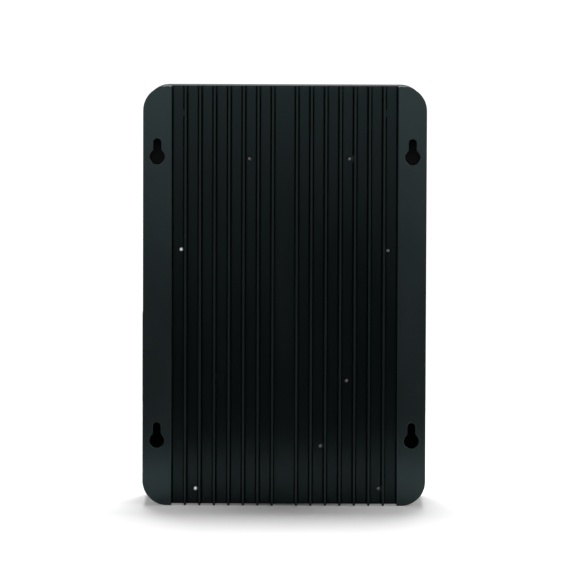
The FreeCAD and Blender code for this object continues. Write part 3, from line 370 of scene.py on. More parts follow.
def clear(name, tint, rough, ior=1.49):
    """Clear moulding: light wear shows as patches of haze."""
    surface = Surface(name, transmission=1.0, ior=ior)
    surface.colour(surface.noise(40, detail=2), tuple(0.96 * part for part in tint), tint)
    surface.roughness(surface.noise(200, detail=4), *rough)
    return surface.finish()


def ribbon_plastic():
    surface = Surface("RibbonPlastic", specular=0.4)
    wires = surface.bands(250)
    surface.colour(wires, (0.30, 0.30, 0.31), (0.44, 0.44, 0.45))
    surface.roughness(surface.noise(200, detail=2), 0.4, 0.5)
    surface.bump(wires, 0.0003)
    return surface.finish()


def make_materials():
    """One material for each slot of the record, and sheared steel, inks, gold and solder."""
    black_epoxy = ((0.012, 0.012, 0.013), (0.020, 0.020, 0.021))
    green = ((0.016, 0.105, 0.055), (0.022, 0.130, 0.070))
    return {
        "anodised_heatsink": anodised_black(),
        "cover_plastic": cover_plastic(),
        "fascia_film": plastic("FasciaFilm", (0.0050, 0.0060, 0.0070), (0.0080, 0.0090, 0.0100),
                               1400, 0.000006, (0.20, 0.28)),
        "display_lens": clear("DisplayLens", (0.86, 0.90, 0.90), (0.02, 0.05)),
        "bezel_plastic": plastic("BezelPlastic", (0.010, 0.010, 0.010), (0.016, 0.016, 0.016)),
        "lcd_glass": liquid_crystal(),
        "backlight_plastic": plastic("BacklightPlastic", (0.70, 0.73, 0.70), (0.80, 0.82, 0.80),
                                     900, 0.00001, (0.3, 0.4)),
        "button_plastic": plastic("ButtonRubber", (0.060, 0.066, 0.070), (0.076, 0.082, 0.087),
                                  2000, 0.000012, (0.46, 0.58)),
        "switch_plastic": plastic("SwitchPlastic", *black_epoxy),
        "light_pipe": plastic("LightPipe", (0.62, 0.66, 0.63), (0.70, 0.74, 0.70), 1200, 0.000006,
                              (0.22, 0.32), transmission=0.35),
        "led_resin": clear("LedResin", (0.70, 0.95, 0.72), (0.05, 0.12), 1.53),
        "circuit_board": circuit_board(),
        "screw_steel": metal("ScrewSteel", (0.24, 0.245, 0.25), (0.36, 0.365, 0.37), (0.3, 0.42)),
        "sheared_steel": metal("ShearedSteel", (0.88, 0.90, 0.91), (0.94, 0.95, 0.96),
                               (0.16, 0.24)),
        "radio_can": metal("RadioCan", (0.55, 0.55, 0.54), (0.64, 0.64, 0.62), (0.3, 0.4),
                           (60, 60, 2200)),
        "connector_plastic": plastic("ConnectorPlastic", (0.020, 0.020, 0.020),
                                     (0.030, 0.030, 0.030), 1800, 0.00001),
        "ribbon_plastic": ribbon_plastic(),
        "post_brass": metal("PostNickel", (0.34, 0.34, 0.335), (0.44, 0.44, 0.43), (0.3, 0.42)),
        "thermal_pad": plastic("ThermalPad", (0.28, 0.34, 0.42), (0.34, 0.40, 0.48), 1500,
                               0.00004, (0.6, 0.75)),
        "device_resin": plastic("DeviceResin", *black_epoxy, 1500, 0.000012, (0.5, 0.62)),
        "spring_steel": metal("SpringSteel", (0.36, 0.36, 0.37), (0.46, 0.46, 0.46),
                              (0.28, 0.4), (30, 1400, 1400)),
        "ferrite": plastic("FerriteCoat", (0.035, 0.11, 0.06), (0.05, 0.14, 0.08), 700,
                           0.00008, (0.35, 0.5)),
        "copper": metal("Copper", (0.72, 0.34, 0.19), (0.84, 0.42, 0.26), (0.2, 0.34)),
        "capacitor_can": plastic("CapacitorSleeve", (0.018, 0.022, 0.040), (0.026, 0.030, 0.052),
                                 900, 0.000006, (0.24, 0.34)),
        "fuse_plastic": plastic("FusePlastic", (0.62, 0.20, 0.015), (0.74, 0.27, 0.025), 700,
                                0.000006, (0.16, 0.26), coat=0.4, coat_roughness=0.1),
        "shunt_metal": metal("Manganin", (0.52, 0.42, 0.33), (0.62, 0.51, 0.41), (0.3, 0.42),
                             (900, 900, 60)),
        "terminal_plastic": plastic("TerminalPlastic", *green, 1700, 0.000014, (0.36, 0.46)),
        "socket_plastic": plastic("SocketPlastic", (0.018, 0.018, 0.018), (0.026, 0.026, 0.026),
                                  1700, 0.000012, (0.34, 0.44)),
        "sensor_plastic": plastic("SensorPlastic", *green, 1700, 0.000014, (0.36, 0.46)),
        "cage_brass": metal("CageNickel", (0.58, 0.55, 0.48), (0.70, 0.67, 0.60), (0.26, 0.38)),
        "white_ink": plastic("WhiteInk", (0.62, 0.64, 0.64), (0.72, 0.74, 0.74), 1800,
                             0.000004, (0.4, 0.5)),
        "dark_ink": plastic("SegmentInk", (0.012, 0.016, 0.013), (0.020, 0.024, 0.020), 1800,
                            0.000002, (0.3, 0.4)),
        "grey_ink": plastic("GreyInk", (0.15, 0.17, 0.175), (0.19, 0.21, 0.215), 1800,
                            0.000004, (0.4, 0.5)),
        "gold_plate": metal("GoldPlate", (0.80, 0.58, 0.22), (0.90, 0.68, 0.30), (0.16, 0.26)),
        "solder": metal("Solder", (0.58, 0.59, 0.60), (0.70, 0.71, 0.72), (0.18, 0.34)),
    }


MATERIALS = make_materials()
SLOT_OF = {part["node"]: part["material_slot"] for part in frame["record"]["subparts"]}
BODY_OF = {node: body for body, nodes in frame["record"]["behaviour"]["bodies"].items()
           for node in nodes}


def dress_nodes():
    for name, node in frame["nodes"].items():
        node.data.materials.clear()
        node.data.materials.append(MATERIALS[SLOT_OF[name]])


# ---------------------------------------------------------------- mesh code
def turned(points, quarter):
    """Turn (x, z) points by quarter turns."""
    for _ in range(quarter):
        points = [(-z, x) for x, z in points]
    return points


class Shape:
    """Mesh code for one piece, in millimetres. A depth counts forwards from the back."""

    def __init__(self):
        self.mesh = bmesh.new()

    def ring(self, points, depth):
        return [self.mesh.verts.new((x * MM, -depth * MM, z * MM)) for x, z in points]

    def skin(self, rings, closed=True):
        """Faces between each two rings, with the first and last ring closed."""
        for first, second in zip(rings, rings[1:]):
            for i in range(len(first)):
                j = (i + 1) % len(first)
                self.mesh.faces.new((first[i], first[j], second[j], second[i]))
        if closed:
            self.mesh.faces.new(rings[0])
            self.mesh.faces.new(rings[-1])

    def around(self, spot, radius, count, start=0.0):
        turn = 2 * math.pi / count
        return [(spot[0] + radius * math.cos(start + turn * i),
                 spot[1] + radius * math.sin(start + turn * i)) for i in range(count)]

    def lathe(self, spot, profile, count=32):
        """Turn (radius, depth) points about the axis that runs from back to front."""
        self.skin([self.ring(self.around(spot, radius, count), depth)
                   for radius, depth in profile])

    def plate(self, points, depth):
        """A flat shape of (x, z) points between two depths."""
        self.skin([self.ring(points, level) for level in depth])

    def strip(self, section, start, end):
        """Run a section of (x, depth) points between two heights."""
        self.skin([[self.mesh.verts.new((x * MM, -depth * MM, z * MM)) for x, depth in section]
                   for z in (start, end)])

    def bar(self, start, end, width, depth):
        """A straight line of ink or metal with square ends."""
        way = (Vector(end) - Vector(start)).normalized() * width / 2
        side = Vector((-way.y, way.x))
        start, end = Vector(start), Vector(end)
        self.plate([tuple(start - side), tuple(end - side), tuple(end + side),
                    tuple(start + side)], depth)

    def hoop(self, spot, outer, inner, depth, count=40):
        """A flat ring."""
        back, front = depth
        loops = [self.ring(self.around(spot, radius, count), level)
                 for radius, level in ((outer, back), (outer, front), (inner, front),
                                       (inner, back))]
        self.skin(loops + [loops[0]], closed=False)

    def cuboid(self, x, depth, z, soft):
        """A block between two values each of x, depth and z, chamfered all round."""
        low, high = depth

        def outline(inset):
            return [(x[0] + inset, z[0] + inset), (x[1] - inset, z[0] + inset),
                    (x[1] - inset, z[1] - inset), (x[0] + inset, z[1] - inset)]
        self.skin([self.ring(outline(soft), low), self.ring(outline(0), low + soft),
                   self.ring(outline(0), high - soft), self.ring(outline(soft), high)])

    def piece(self, name, body, slot, material=None, replaces=(), smooth=30):
        bmesh.ops.recalc_face_normals(self.mesh, faces=self.mesh.faces)
        return make_piece(name, self.mesh, body, slot, material, replaces, smooth)


def make_piece(name, work, body, slot, material=None, replaces=(), smooth=30):
    mesh = bpy.data.meshes.new(name)
    work.to_mesh(mesh)
    work.free()
    mesh.polygons.foreach_set("use_smooth", [True] * len(mesh.polygons))
    mesh.set_sharp_from_angle(angle=math.radians(smooth))
    mesh.materials.append(MATERIALS[material or slot])
    piece = bpy.data.objects.new(name, mesh)
    bpy.context.scene.collection.objects.link(piece)
    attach(piece, body)
    if replaces:
        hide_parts(*replaces)
    return piece


def node_mesh(node):
    work = bmesh.new()
    work.from_mesh(frame["nodes"][node].data)
    bmesh.ops.remove_doubles(work, verts=work.verts, dist=0.000001)
    return work


def islands(node):
    """Low and high corners, in millimetres, of a CAD node's solids, highest solid first."""
    work = node_mesh(node)
    seen, found = set(), []
    for start in work.verts:
        if start in seen:
            continue
        stack, group = [start], []
        seen.add(start)
        while stack:
            vertex = stack.pop()
            group.append(vertex.co / MM)
            for edge in vertex.link_edges:
                other = edge.other_vert(vertex)
                if other not in seen:
                    seen.add(other)
                    stack.append(other)
        found.append(tuple(Vector([pick(place[axis] for place in group) for axis in range(3)])
                           for pick in (min, max)))
    work.free()
    return sorted(found, key=lambda box: (-round(box[1].z, 1), -box[1].x))


def spot_of(box):
    low, high = box
    return ((low.x + high.x) / 2, (low.z + high.z) / 2)


def node_box(node):
    """A node's corners in millimetres."""
    low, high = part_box(node)
    return Vector(low) / MM, Vector(high) / MM


def softened(node, width):
    """A copy of a CAD node with its sharp edges rounded, which stands for the node."""
    work = node_mesh(node)
    bmesh.ops.dissolve_limit(work, angle_limit=math.radians(1), verts=work.verts,
                             edges=work.edges)
    sharp = [edge for edge in work.edges
             if len(edge.link_faces) == 2 and edge.calc_face_angle(0) > math.radians(50)]
    bmesh.ops.bevel(work, geom=sharp, offset=width * MM, segments=2, profile=0.5,
                    affect="EDGES", clamp_overlap=True)
    make_piece("Soft_" + node, work, BODY_OF[node], SLOT_OF[node], replaces=(node,), smooth=20)


# ---------------------------------------------------------------- heatsink roots
ROOT_ROUND = 1.3
ROOT_STEPS = 6
FIN_HALF = 0.7
FIRST_FIN = 7.65
FIN_PITCH = 9.24
CHANNEL_WALL = 71.8
CHANNEL_FLOOR = 12
FINS_A_SIDE = 7
END_GAP = 0.01
# fillets stop TIP_ROOM short of a screw end that stands this near to their wall
TIP_NEAR = (-0.5, 2.8)
TIP_ROOM = 2


def root_section(x, way):
    """A concave fillet between the floor of a channel and a wall at x; way is its side."""
    points = [(x, CHANNEL_FLOOR), (x, CHANNEL_FLOOR - ROOT_ROUND)]
    for step in range(1, ROOT_STEPS):
        turn = math.pi / 2 * step / ROOT_STEPS
        points.append((x + way * ROOT_ROUND * (1 - math.cos(turn)),
                       CHANNEL_FLOOR - ROOT_ROUND * (1 - math.sin(turn))))
    return points + [(x + way * ROOT_ROUND, CHANNEL_FLOOR)]


def root_fillets():
    """The rounded roots of the extruded fins, broken where a screw comes through beside them."""
    low, high = node_box("heatsink")
    tips = [spot_of(box) for node in ("front_cover_screws", "terminal_cover_screws",
                                      "earth_screw", "board_posts") for box in islands(node)]
    walls = [(CHANNEL_WALL, -1), (-CHANNEL_WALL, 1)]
    for count in range(FINS_A_SIDE):
        for side in (-1, 1):
            middle = side * (FIRST_FIN + count * FIN_PITCH)
            walls += [(middle + FIN_HALF, 1), (middle - FIN_HALF, -1)]
    shape = Shape()
    for x, way in walls:
        near = sorted(z for place, z in tips if TIP_NEAR[0] < (place - x) * way < TIP_NEAR[1])
        starts = [low.z + END_GAP] + [z + TIP_ROOM for z in near]
        ends = [z - TIP_ROOM for z in near] + [high.z - END_GAP]
        for start, end in zip(starts, ends):
            shape.strip(root_section(x, way), start, end)
    shape.piece("RootFillets", "root", "anodised_heatsink", smooth=40)


# ---------------------------------------------------------------- fasteners
THREAD = 0.5
SIDES = 32
SINK_FACE = 17
CLAMP_RADIUS = 2.5
CLAMP_HEAD = 3.6
CLAMP_PITCH = 0.8
# a tip that slopes more than this is bare, sheared steel
SHEARED = 0.1
# node: thread radius, height of the head, and the slopes of the tips in the order of islands()
FASTENERS = {
    "front_cover_screws": (1.4, 2.4, (0, 0, 0.16, 0.05)),
    "terminal_cover_screws": (1.4, 2.4, (0.16, 0)),
    "earth_screw": (1.4, 2.8, (0.05,)),
    "board_screws": (1.4, 2.4, ()),
    "clamp_bar_screws": (1.4, 2.4, ()),
    "display_board_screws": (1.0, 1.6, ()),
}
HEADS_AT_BACK = "display_board_screws"


def cross(spot, reach, half):
    """The outline of a cross recess, with as many points as a ring has SIDES."""
    arm = [(reach, 0), (reach, half * 0.6), (reach, half), (reach * 0.6, half), (half * 1.3, half),
           (half, half * 1.3), (half, reach * 0.6), (half, reach)]
    points = []
    for quarter in range(4):
        points += turned(arm, quarter)
    return [(spot[0] + x, spot[1] + z) for x, z in points]


def threaded(radius, start, end, pitch=THREAD):
    """Profile points of a thread between two depths, given from the first to the last."""
    count = max(2, int(abs(end - start) / pitch))
    step = (end - start) / count
    points = []
    for turn in range(count):
        points += [(radius - 0.3 * pitch, start + step * (turn + 0.15)),
                   (radius, start + step * (turn + 0.5)),
                   (radius - 0.3 * pitch, start + step * (turn + 0.85))]
    return points


def add_screw(shape, box, radius, head_tall, tilt, head_at_back):
    """A pan-head screw in a CAD solid's box; tilt is the slope of its tip, which faces upwards."""
    low, high = box
    spot = spot_of(box)
    head = (high.x - low.x) / 2
    tip, top, way = -high.y, -low.y, 1
    if head_at_back:
        tip, top, way = top, tip, -1
    seat = top - way * head_tall
    flat = radius - 0.25
    drop = tilt * flat
    profile = [(flat - 0.2, tip + way * (drop + 0.05)), (flat, tip + way * (drop + 0.1)),
               (radius - 0.05, tip + way * (drop + 0.35))]
    profile += threaded(radius, tip + way * (drop + 0.45), seat - way * 0.4)
    profile += [(radius, seat - way * 0.1), (radius * 1.05, seat), (head - 0.15, seat),
                (head, seat + way * 0.2), (head, seat + way * 0.55 * head_tall),
                (head * 0.93, seat + way * 0.8 * head_tall), (head * 0.78, top)]
    rings = [shape.ring(shape.around(spot, size, SIDES), depth) for size, depth in profile]
    for vertex in rings[0] + rings[1]:
        vertex.co.y -= tilt * (vertex.co.z - spot[1] * MM)
    deep = 0.55 * head_tall
    for reach, half, depth in ((0.60, 0.15, top), (0.44, 0.13, top - way * 0.7 * deep),
                               (0.16, 0.10, top - way * deep)):
        rings.append(shape.ring(cross(spot, reach * head, half * head), depth))
    shape.skin(rings)
    if tilt > SHEARED:
        for vertex in rings[0]:
            for face in vertex.link_faces:
                face.material_index = 1


def fasteners():
    for node, (radius, head_tall, slopes) in FASTENERS.items():
        shape = Shape()
        for count, box in enumerate(islands(node)):
            tilt = slopes[count] if count < len(slopes) else 0
            add_screw(shape, box, radius, head_tall, tilt, node == HEADS_AT_BACK)
        piece = shape.piece("Screws_" + node, BODY_OF[node], "screw_steel", replaces=(node,))
        piece.data.materials.append(MATERIALS["sheared_steel"])


def board_posts():
    """Hexagonal posts with a chamfer at each end and a threaded stud."""
    shape = Shape()
    for low, high in islands("board_posts"):
        spot = spot_of((low, high))
        tip, back, front = -high.y, SINK_FACE, -low.y
        shape.lathe(spot, [(0.95, tip), (1.3, tip + 0.4)]
                    + threaded(1.4, tip + 0.45, back - 0.2) + [(1.3, back - 0.1), (1.3, back + 1)])
        across = (high.z - low.z) / math.sqrt(3)
        six = [(across * 0.88, back), (across, back + 0.3), (across, front - 0.3),
               (across * 0.88, front)]
        outer = [shape.ring(shape.around(spot, radius, 6), depth) for radius, depth in six]
        shape.skin(outer)
    shape.piece("Posts", "root", "post_brass", replaces=("board_posts",))


def terminal_screws():
    """Clamping screws with a chamfered head, a cross recess and a thread."""
    for pole in range(1, POLES + 1):
        node = f"terminal_screw_{pole}"
        low, high = node_box(node)
        spot = spot_of((low, high))
        tip, top = -high.y, -low.y
        head = (high.x - low.x) / 2
        seat = top - CLAMP_HEAD
        profile = [(1.2, tip), (1.9, tip + 0.1), (CLAMP_RADIUS - 0.1, tip + 0.7)]
        profile += threaded(CLAMP_RADIUS, tip + 0.8, seat - 0.3, CLAMP_PITCH)
        profile += [(CLAMP_RADIUS, seat - 0.1), (CLAMP_RADIUS, seat), (head - 0.3, seat),
                    (head, seat + 0.3), (head, top - 0.5), (head - 0.4, top)]
        shape = Shape()
        rings = [shape.ring(shape.around(spot, size, SIDES), depth) for size, depth in profile]
        for reach, half, depth in ((0.72, 0.15, top), (0.70, 0.13, top - 1.6),
                                   (0.2, 0.12, top - 2.0)):
            rings.append(shape.ring(cross(spot, reach * head, half * head), depth))
        shape.skin(rings)
        shape.piece(f"ClampScrew_{pole}", BODY_OF[node], "screw_steel", replaces=(node,))


# ---------------------------------------------------------------- printed symbols and display
INK = 0.04
SUNK = 0.01
POLES = 6
# each button's arrow in quarter turns from upwards; the last has a ring and a dot instead
BUTTONS = {"back": 1, "down": 2, "up": 0, "enter": None}
BATTERY_BARS = 3
SYMBOL = 1.7
SYMBOL_ASIDE = 5.6
FRAME_GAP = 1.6
FRAME_LINE = 0.35
FRAME_END = 1.77
KEY_RING = (8.0, 7.7)
GUIDE_LINE = 0.3
GUIDE_INSET = 8
GUIDE_BELOW = 12


def ink_on(low):
    """The depths of a print on the front of a node whose low corner is given."""
    return -low.y - SUNK, -low.y + INK


def sun(shape, spot, size, depth):
    x, z = spot
    shape.hoop(spot, size * 0.5, size * 0.34, depth)
    for ray in range(8):
        angle = ray * math.pi / 4
        way = Vector((math.cos(angle), math.sin(angle)))
        start, end = way * size * 0.66, way * size * 0.98
        shape.bar((x + start.x, z + start.y), (x + end.x, z + end.y), size * 0.13, depth)


def battery(shape, spot, size, depth):
    x, z = spot
    wide, tall, line = size, size * 0.58, size * 0.12
    for level in (-tall, tall):
        shape.bar((x - wide, z + level), (x + wide, z + level), line, depth)
    for side in (-wide, wide):
        shape.bar((x + side, z - tall - line / 2), (x + side, z + tall + line / 2), line, depth)
    shape.bar((x + wide + line / 2, z), (x + wide + line * 2, z), size * 0.5, depth)
    for step in range(BATTERY_BARS):
        middle = x - wide + (step + 1) * 2 * wide / (BATTERY_BARS + 1)
        shape.bar((middle, z - tall * 0.6), (middle, z + tall * 0.6), size * 0.26, depth)


def lamp(shape, spot, size, depth):
    x, z = spot
    shape.hoop((x, z + size * 0.15), size * 0.62, size * 0.46, depth)
    for step in range(2):
        level = z - size * (0.62 + 0.24 * step)
        shape.bar((x - size * 0.26, level), (x + size * 0.26, level), size * 0.14, depth)


def arrow(shape, spot, size, depth, quarter):
    """A chevron that points up, turned by quarter turns."""
    for side in (-1, 1):
        ends = turned([(0, size * 0.35), (side * size * 0.62, -size * 0.35)], quarter)
        shape.bar(*[(spot[0] + x, spot[1] + z) for x, z in ends], size * 0.24, depth)


def button_marks():
    """Pad-printed marks that move with their buttons."""
    for name, quarter in BUTTONS.items():
        node = "button_" + name
        low, high = node_box(node)
        spot = spot_of((low, high))
        depth = ink_on(low)
        shape = Shape()
        if quarter is None:
            shape.hoop(spot, 2.5, 1.95, depth)
            shape.plate(shape.around(spot, 0.75, 20), depth)
        else:
            arrow(shape, spot, 3.4, depth, quarter)
        shape.piece("Mark_" + name, node, "button_plastic", "white_ink")


def fascia_print():
    """A symbol beside each status light, a thin frame, rings round the keys and a guide line."""
    low, high = node_box("fascia_panel")
    depth = ink_on(low)
    shape = Shape()
    lights = sorted(islands("light_pipes"), key=lambda box: box[0].x)
    for draw, box in zip((sun, battery, lamp), lights):
        x, z = spot_of(box)
        draw(shape, (x + SYMBOL_ASIDE, z), SYMBOL, depth)
    shape.piece("SymbolPrint", "root", "fascia_film", "white_ink")
    lines = Shape()
    lens_low, lens_high = node_box("display_lens")
    left, right = lens_low.x - FRAME_GAP, lens_high.x + FRAME_GAP
    for z in (lens_low.z - FRAME_GAP, lens_high.z + FRAME_GAP):
        lines.bar((left, z), (right, z), FRAME_LINE, depth)
    for x in (left, right):
        lines.bar((x, lens_low.z - FRAME_END), (x, lens_high.z + FRAME_END), FRAME_LINE, depth)
    keys = [spot_of(node_box("button_" + name)) for name in BUTTONS]
    for key in keys:
        lines.hoop(key, *KEY_RING, depth, 56)
    level = keys[0][1] - GUIDE_BELOW
    lines.bar((low.x + GUIDE_INSET, level), (high.x - GUIDE_INSET, level), GUIDE_LINE, depth)
    lines.piece("LinePrint", "root", "fascia_film", "grey_ink")


SEGMENTS = {"a": ((0, 2), (1, 2)), "b": ((1, 2), (1, 1)), "c": ((1, 1), (1, 0)),
            "d": ((0, 0), (1, 0)), "e": ((0, 1), (0, 0)), "f": ((0, 2), (0, 1)),
            "g": ((0, 1), (1, 1))}
DIGITS = {"0": "abcdef", "1": "bc", "2": "abged", "3": "abgcd", "4": "fgbc", "5": "afgcd",
          "6": "afgedc", "8": "abcdefg"}
# a figure's width, stroke, lean and gap, as parts of its height
FIGURE_WIDE = 0.46
FIGURE_STROKE = 0.11
FIGURE_LEAN = 0.05
FIGURE_GAP = 0.30


def number(shape, text, corner, tall, depth):
    """Seven-segment figures that lean a little, written to the right of a corner."""
    across, width = tall * FIGURE_WIDE, tall * FIGURE_STROKE
    x, z = corner
    for figure in text:
        if figure == ".":
            shape.plate(shape.around((x - width * 0.4, z), width * 0.62, 4, math.pi / 4), depth)
            x += width * 1.6
            continue
        for name in DIGITS[figure]:
            ends = [Vector((x + a * across + b * tall * FIGURE_LEAN, z + b * tall / 2))
                    for a, b in SEGMENTS[name]]
            way = (ends[1] - ends[0]).normalized()
            side = Vector((-way.y, way.x)) * width / 2
            inset = [ends[0] + way * width * 0.15, ends[1] - way * width * 0.15]
            points = [inset[0], inset[0] + way * width / 2 - side,
                      inset[1] - way * width / 2 - side, inset[1],
                      inset[1] - way * width / 2 + side, inset[0] + way * width / 2 + side]
            shape.plate([tuple(point) for point in points], depth)
        x += across + tall * FIGURE_GAP


def display_figures():
    low, high = node_box("lcd_glass")
    depth = (-low.y, -low.y + 0.05)
    middle = (low.x + high.x) / 2
    shape = Shape()
    number(shape, "13.4", (middle - 12, low.z + 15), 15, depth)
    number(shape, "25.0", (low.x + 8, low.z + 5), 6, depth)
    number(shape, "18.6", (high.x - 24, low.z + 5), 6, depth)
    sun(shape, (low.x + 10, high.z - 10), 4.2, depth)
    battery(shape, (high.x - 11, high.z - 10), 4.2, depth)
    arrow(shape, (low.x + 19.5, high.z - 10), 3, depth, 3)
    shape.bar((low.x + 4, low.z + 12.6), (high.x - 4, low.z + 12.6), 0.3, depth)
    shape.piece("Figures", "root", "lcd_glass", "dark_ink")


# ---------------------------------------------------------------- wiring compartment
SOFT_NODES = {
    "terminal_block": 0.35, "terminal_bars": 0.2, "data_socket": 0.3, "sensor_socket": 0.2,
    "fuse_holders": 0.4, "blade_fuses": 0.4, "current_shunts": 0.3, "control_chips": 0.2,
    "power_transistors": 0.15, "clamp_bars": 0.2, "radio_module": 0.25, "ribbon_plugs": 0.25,
    "button_switches": 0.15, "display_bezel": 0.3,
}
CAGE_SOFT = 0.2
MARK_ABOVE = 8
MARK_HALF = 1.3
MARK_LINE = 0.5
MARK_GAP = 0.26
RIB_HALF = 0.6
RIB_TALL = 1.2
RIB_FOOT = 1
RIB_BELOW_TOP = 8
WIRES = 8
WIRE_PITCH = 1.02
CONTACT_DEPTH = (34.2, 34.6)
PIN_ASIDE = 1.25
PIN_DEPTH = (34.9, 35.5)
CHIP_LEGS = 8
LEG_INSET = 1.3
LEG_HALF = 0.2
# a leg's runs: where each starts and ends outside the chip, and its depths from the board
LEG_RUNS = ((-0.1, 0.7, 0.5, 0.75), (0.5, 1.3, 0.02, 0.3), (0.5, 0.75, 0.1, 0.7))
SMALL_SEED = 7
SMALL_ROWS = 10
SMALL_COLUMNS = 26
SMALL_INSET = 5
SMALL_FOOT = 29
SMALL_PITCH = 4.6
SMALL_SIZE = (1.0, 0.55)
# the share of spots left bare, and of small parts that lie across the board
SMALL_BARE = 0.45
SMALL_ACROSS = 0.6
SMALL_ROOM = 1.8


def pole_spots():
    return [spot_of(node_box(f"terminal_screw_{pole}")) for pole in range(1, POLES + 1)]


def terminal_marks():
    """Printed polarity marks over each pole, and what each pair of poles is for."""
    low, high = node_box("terminal_block")
    depth = ink_on(low)
    shape = Shape()
    spots = pole_spots()
    for pole, (x, z) in enumerate(spots):
        level = z + MARK_ABOVE
        shape.bar((x - MARK_HALF, level), (x + MARK_HALF, level), MARK_LINE, depth)
        if pole % 2 == 0:
            shape.bar((x, level + MARK_GAP), (x, level + MARK_HALF), MARK_LINE, depth)
            shape.bar((x, level - MARK_HALF), (x, level - MARK_GAP), MARK_LINE, depth)
    for pair, draw in enumerate((sun, battery, lamp)):
        left, right = spots[2 * pair], spots[2 * pair + 1]
        draw(shape, ((left[0] + right[0]) / 2, high.z - 4.5), 2.0, depth)
    shape.piece("PoleMarks", "root", "terminal_plastic", "white_ink")


def block_ribs():
    """Low ribs between the poles on the front of the terminal block."""
    low, high = node_box("terminal_block")
    shape = Shape()
    spots = pole_spots()
    for (x, _), (after, _) in zip(spots, spots[1:]):
        middle = (x + after) / 2
        shape.cuboid((middle - RIB_HALF, middle + RIB_HALF), (-low.y - 0.1, -low.y + RIB_TALL),
                     (low.z + RIB_FOOT, high.z - RIB_BELOW_TOP), 0.25)
    shape.piece("BlockRibs", "root", "terminal_plastic")


def socket_contacts():
    """Gold spring contacts in the data socket and pins in the sensor socket."""
    low, high = node_box("data_socket")
    middle = (low.x + high.x) / 2
    shape = Shape()
    for wire in range(WIRES):
        x = middle + (wire - (WIRES - 1) / 2) * WIRE_PITCH
        shape.cuboid((x - 0.18, x + 0.18), CONTACT_DEPTH, (low.z + 3, high.z - 4.2), 0.08)
    low, high = node_box("sensor_socket")
    middle = (low.x + high.x) / 2
    for pin in (-1, 1):
        x = middle + pin * PIN_ASIDE
        shape.cuboid((x - 0.3, x + 0.3), PIN_DEPTH, (low.z + 3, high.z - 1), 0.12)
    shape.piece("Contacts", "root", "socket_plastic", "gold_plate")


def chip_legs():
    """Gull-wing legs on two sides of each chip, with a notch mark in its corner."""
    board = -node_box("main_board")[0].y
    legs, dots = Shape(), Shape()
    for low, high in islands("control_chips"):
        front = -low.y
        for side, edge in ((-1, low.x), (1, high.x)):
            for step in range(CHIP_LEGS):
                rise = step * (high.z - low.z - 2 * LEG_INSET) / (CHIP_LEGS - 1)
                z = low.z + LEG_INSET + rise
                for start, end, back, top in LEG_RUNS:
                    legs.cuboid(sorted((edge + side * start, edge + side * end)),
                                (board + back, board + top), (z - LEG_HALF, z + LEG_HALF), 0.05)
        dots.plate(dots.around((low.x + 1.4, high.z - 1.4), 0.5, 20), (front - 0.01, front + 0.03))
    legs.piece("ChipLegs", "root", "screw_steel", "solder")
    dots.piece("ChipDots", "root", "device_resin", "grey_ink")


def is_free(x, z, taken):
    """True where a small part would stand clear of every larger one."""
    return not any(low.x - SMALL_ROOM < x < high.x + SMALL_ROOM
                   and low.z - SMALL_ROOM < z < high.z + SMALL_ROOM for low, high in taken)


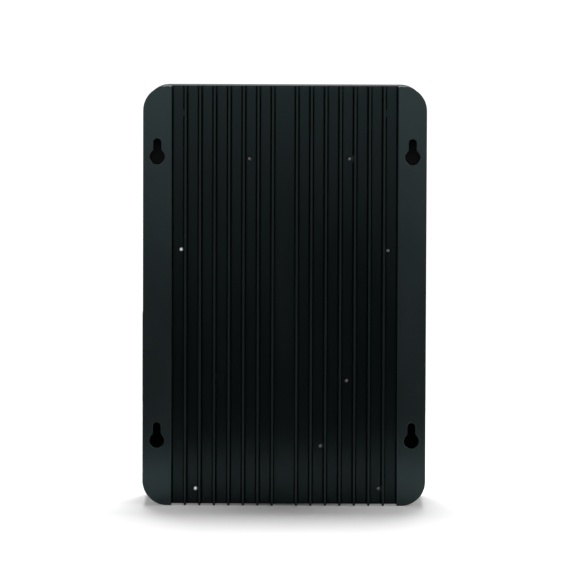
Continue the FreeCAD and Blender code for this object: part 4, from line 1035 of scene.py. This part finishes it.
def small_parts():
    """Rows of small resistors and capacitors, and solder joints, on the open part of the board."""
    board = -node_box("main_board")[0].y
    taken = [node_box("terminal_block"), node_box("data_socket"), node_box("sensor_socket")]
    for node in ("fuse_holders", "current_shunts", "control_chips", "board_screws",
                 "output_capacitors"):
        taken += islands(node)
    low, high = node_box("main_board")
    dice = random.Random(SMALL_SEED)
    bodies, ends = Shape(), Shape()
    for row in range(SMALL_ROWS):
        for column in range(SMALL_COLUMNS):
            across = column * (high.x - low.x - 2 * SMALL_INSET) / (SMALL_COLUMNS - 1)
            x = low.x + SMALL_INSET + across
            z = low.z + SMALL_FOOT + row * SMALL_PITCH
            if dice.random() < SMALL_BARE or not is_free(x, z, taken):
                continue
            long, wide = SMALL_SIZE if dice.random() < SMALL_ACROSS else SMALL_SIZE[::-1]
            bodies.cuboid((x - long * 0.7, x + long * 0.7), (board + 0.02, board + 0.55),
                          (z - wide * 0.7, z + wide * 0.7), 0.06)
            for side in (-1, 1):
                end = (x + side * long, z) if long > wide else (x, z + side * wide)
                ends.cuboid((end[0] - 0.35, end[0] + 0.35), (board + 0.01, board + 0.6),
                            (end[1] - 0.35, end[1] + 0.35), 0.1)
    for box in islands("fuse_holders") + islands("current_shunts"):
        for x in (box[0].x - 1.4, box[1].x + 1.4):
            spot = (x, (box[0].z + box[1].z) / 2)
            ends.lathe(spot, [(1.1, board + 0.01), (0.8, board + 0.3), (0.35, board + 0.8),
                              (0.3, board + 1.0)], 20)
    bodies.piece("SmallParts", "root", "device_resin")
    ends.piece("SolderEnds", "root", "screw_steel", "solder")


def capacitor_tops():
    """Bare metal tops with a cross-shaped vent, and the rolled edge of the sleeve."""
    tops, sleeves = Shape(), Shape()
    for low, high in islands("input_capacitors") + islands("output_capacitors"):
        spot, top = spot_of((low, high)), -low.y
        radius = (high.x - low.x) / 2
        tops.lathe(spot, [(0.80 * radius, top - 0.3), (0.80 * radius, top + 0.02),
                          (0.72 * radius, top + 0.06), (0.70 * radius, top + 0.04)])
        for turn in (0.25, 0.75):
            way = Vector((math.cos(turn * math.pi), math.sin(turn * math.pi))) * 0.5 * radius
            middle = Vector(spot)
            tops.bar(tuple(middle - way), tuple(middle + way), 0.35, (top, top + 0.1))
        sleeves.hoop(spot, radius + 0.04, 0.82 * radius, (top - 0.35, top + 0.08))
    tops.piece("CapacitorTops", "root", "capacitor_can", "screw_steel")
    sleeves.piece("SleeveRims", "root", "capacitor_can")


# ---------------------------------------------------------------- build the scene
add_camera()
add_world()
add_lights()
add_floor()
dress_nodes()
root_fillets()
fasteners()
board_posts()
terminal_screws()
for node, width in SOFT_NODES.items():
    softened(node, width)
for pole in range(1, POLES + 1):
    softened(f"terminal_cage_{pole}", CAGE_SOFT)
button_marks()
fascia_print()
display_figures()
terminal_marks()
block_ribs()
socket_contacts()
chip_legs()
capacitor_tops()
small_parts()
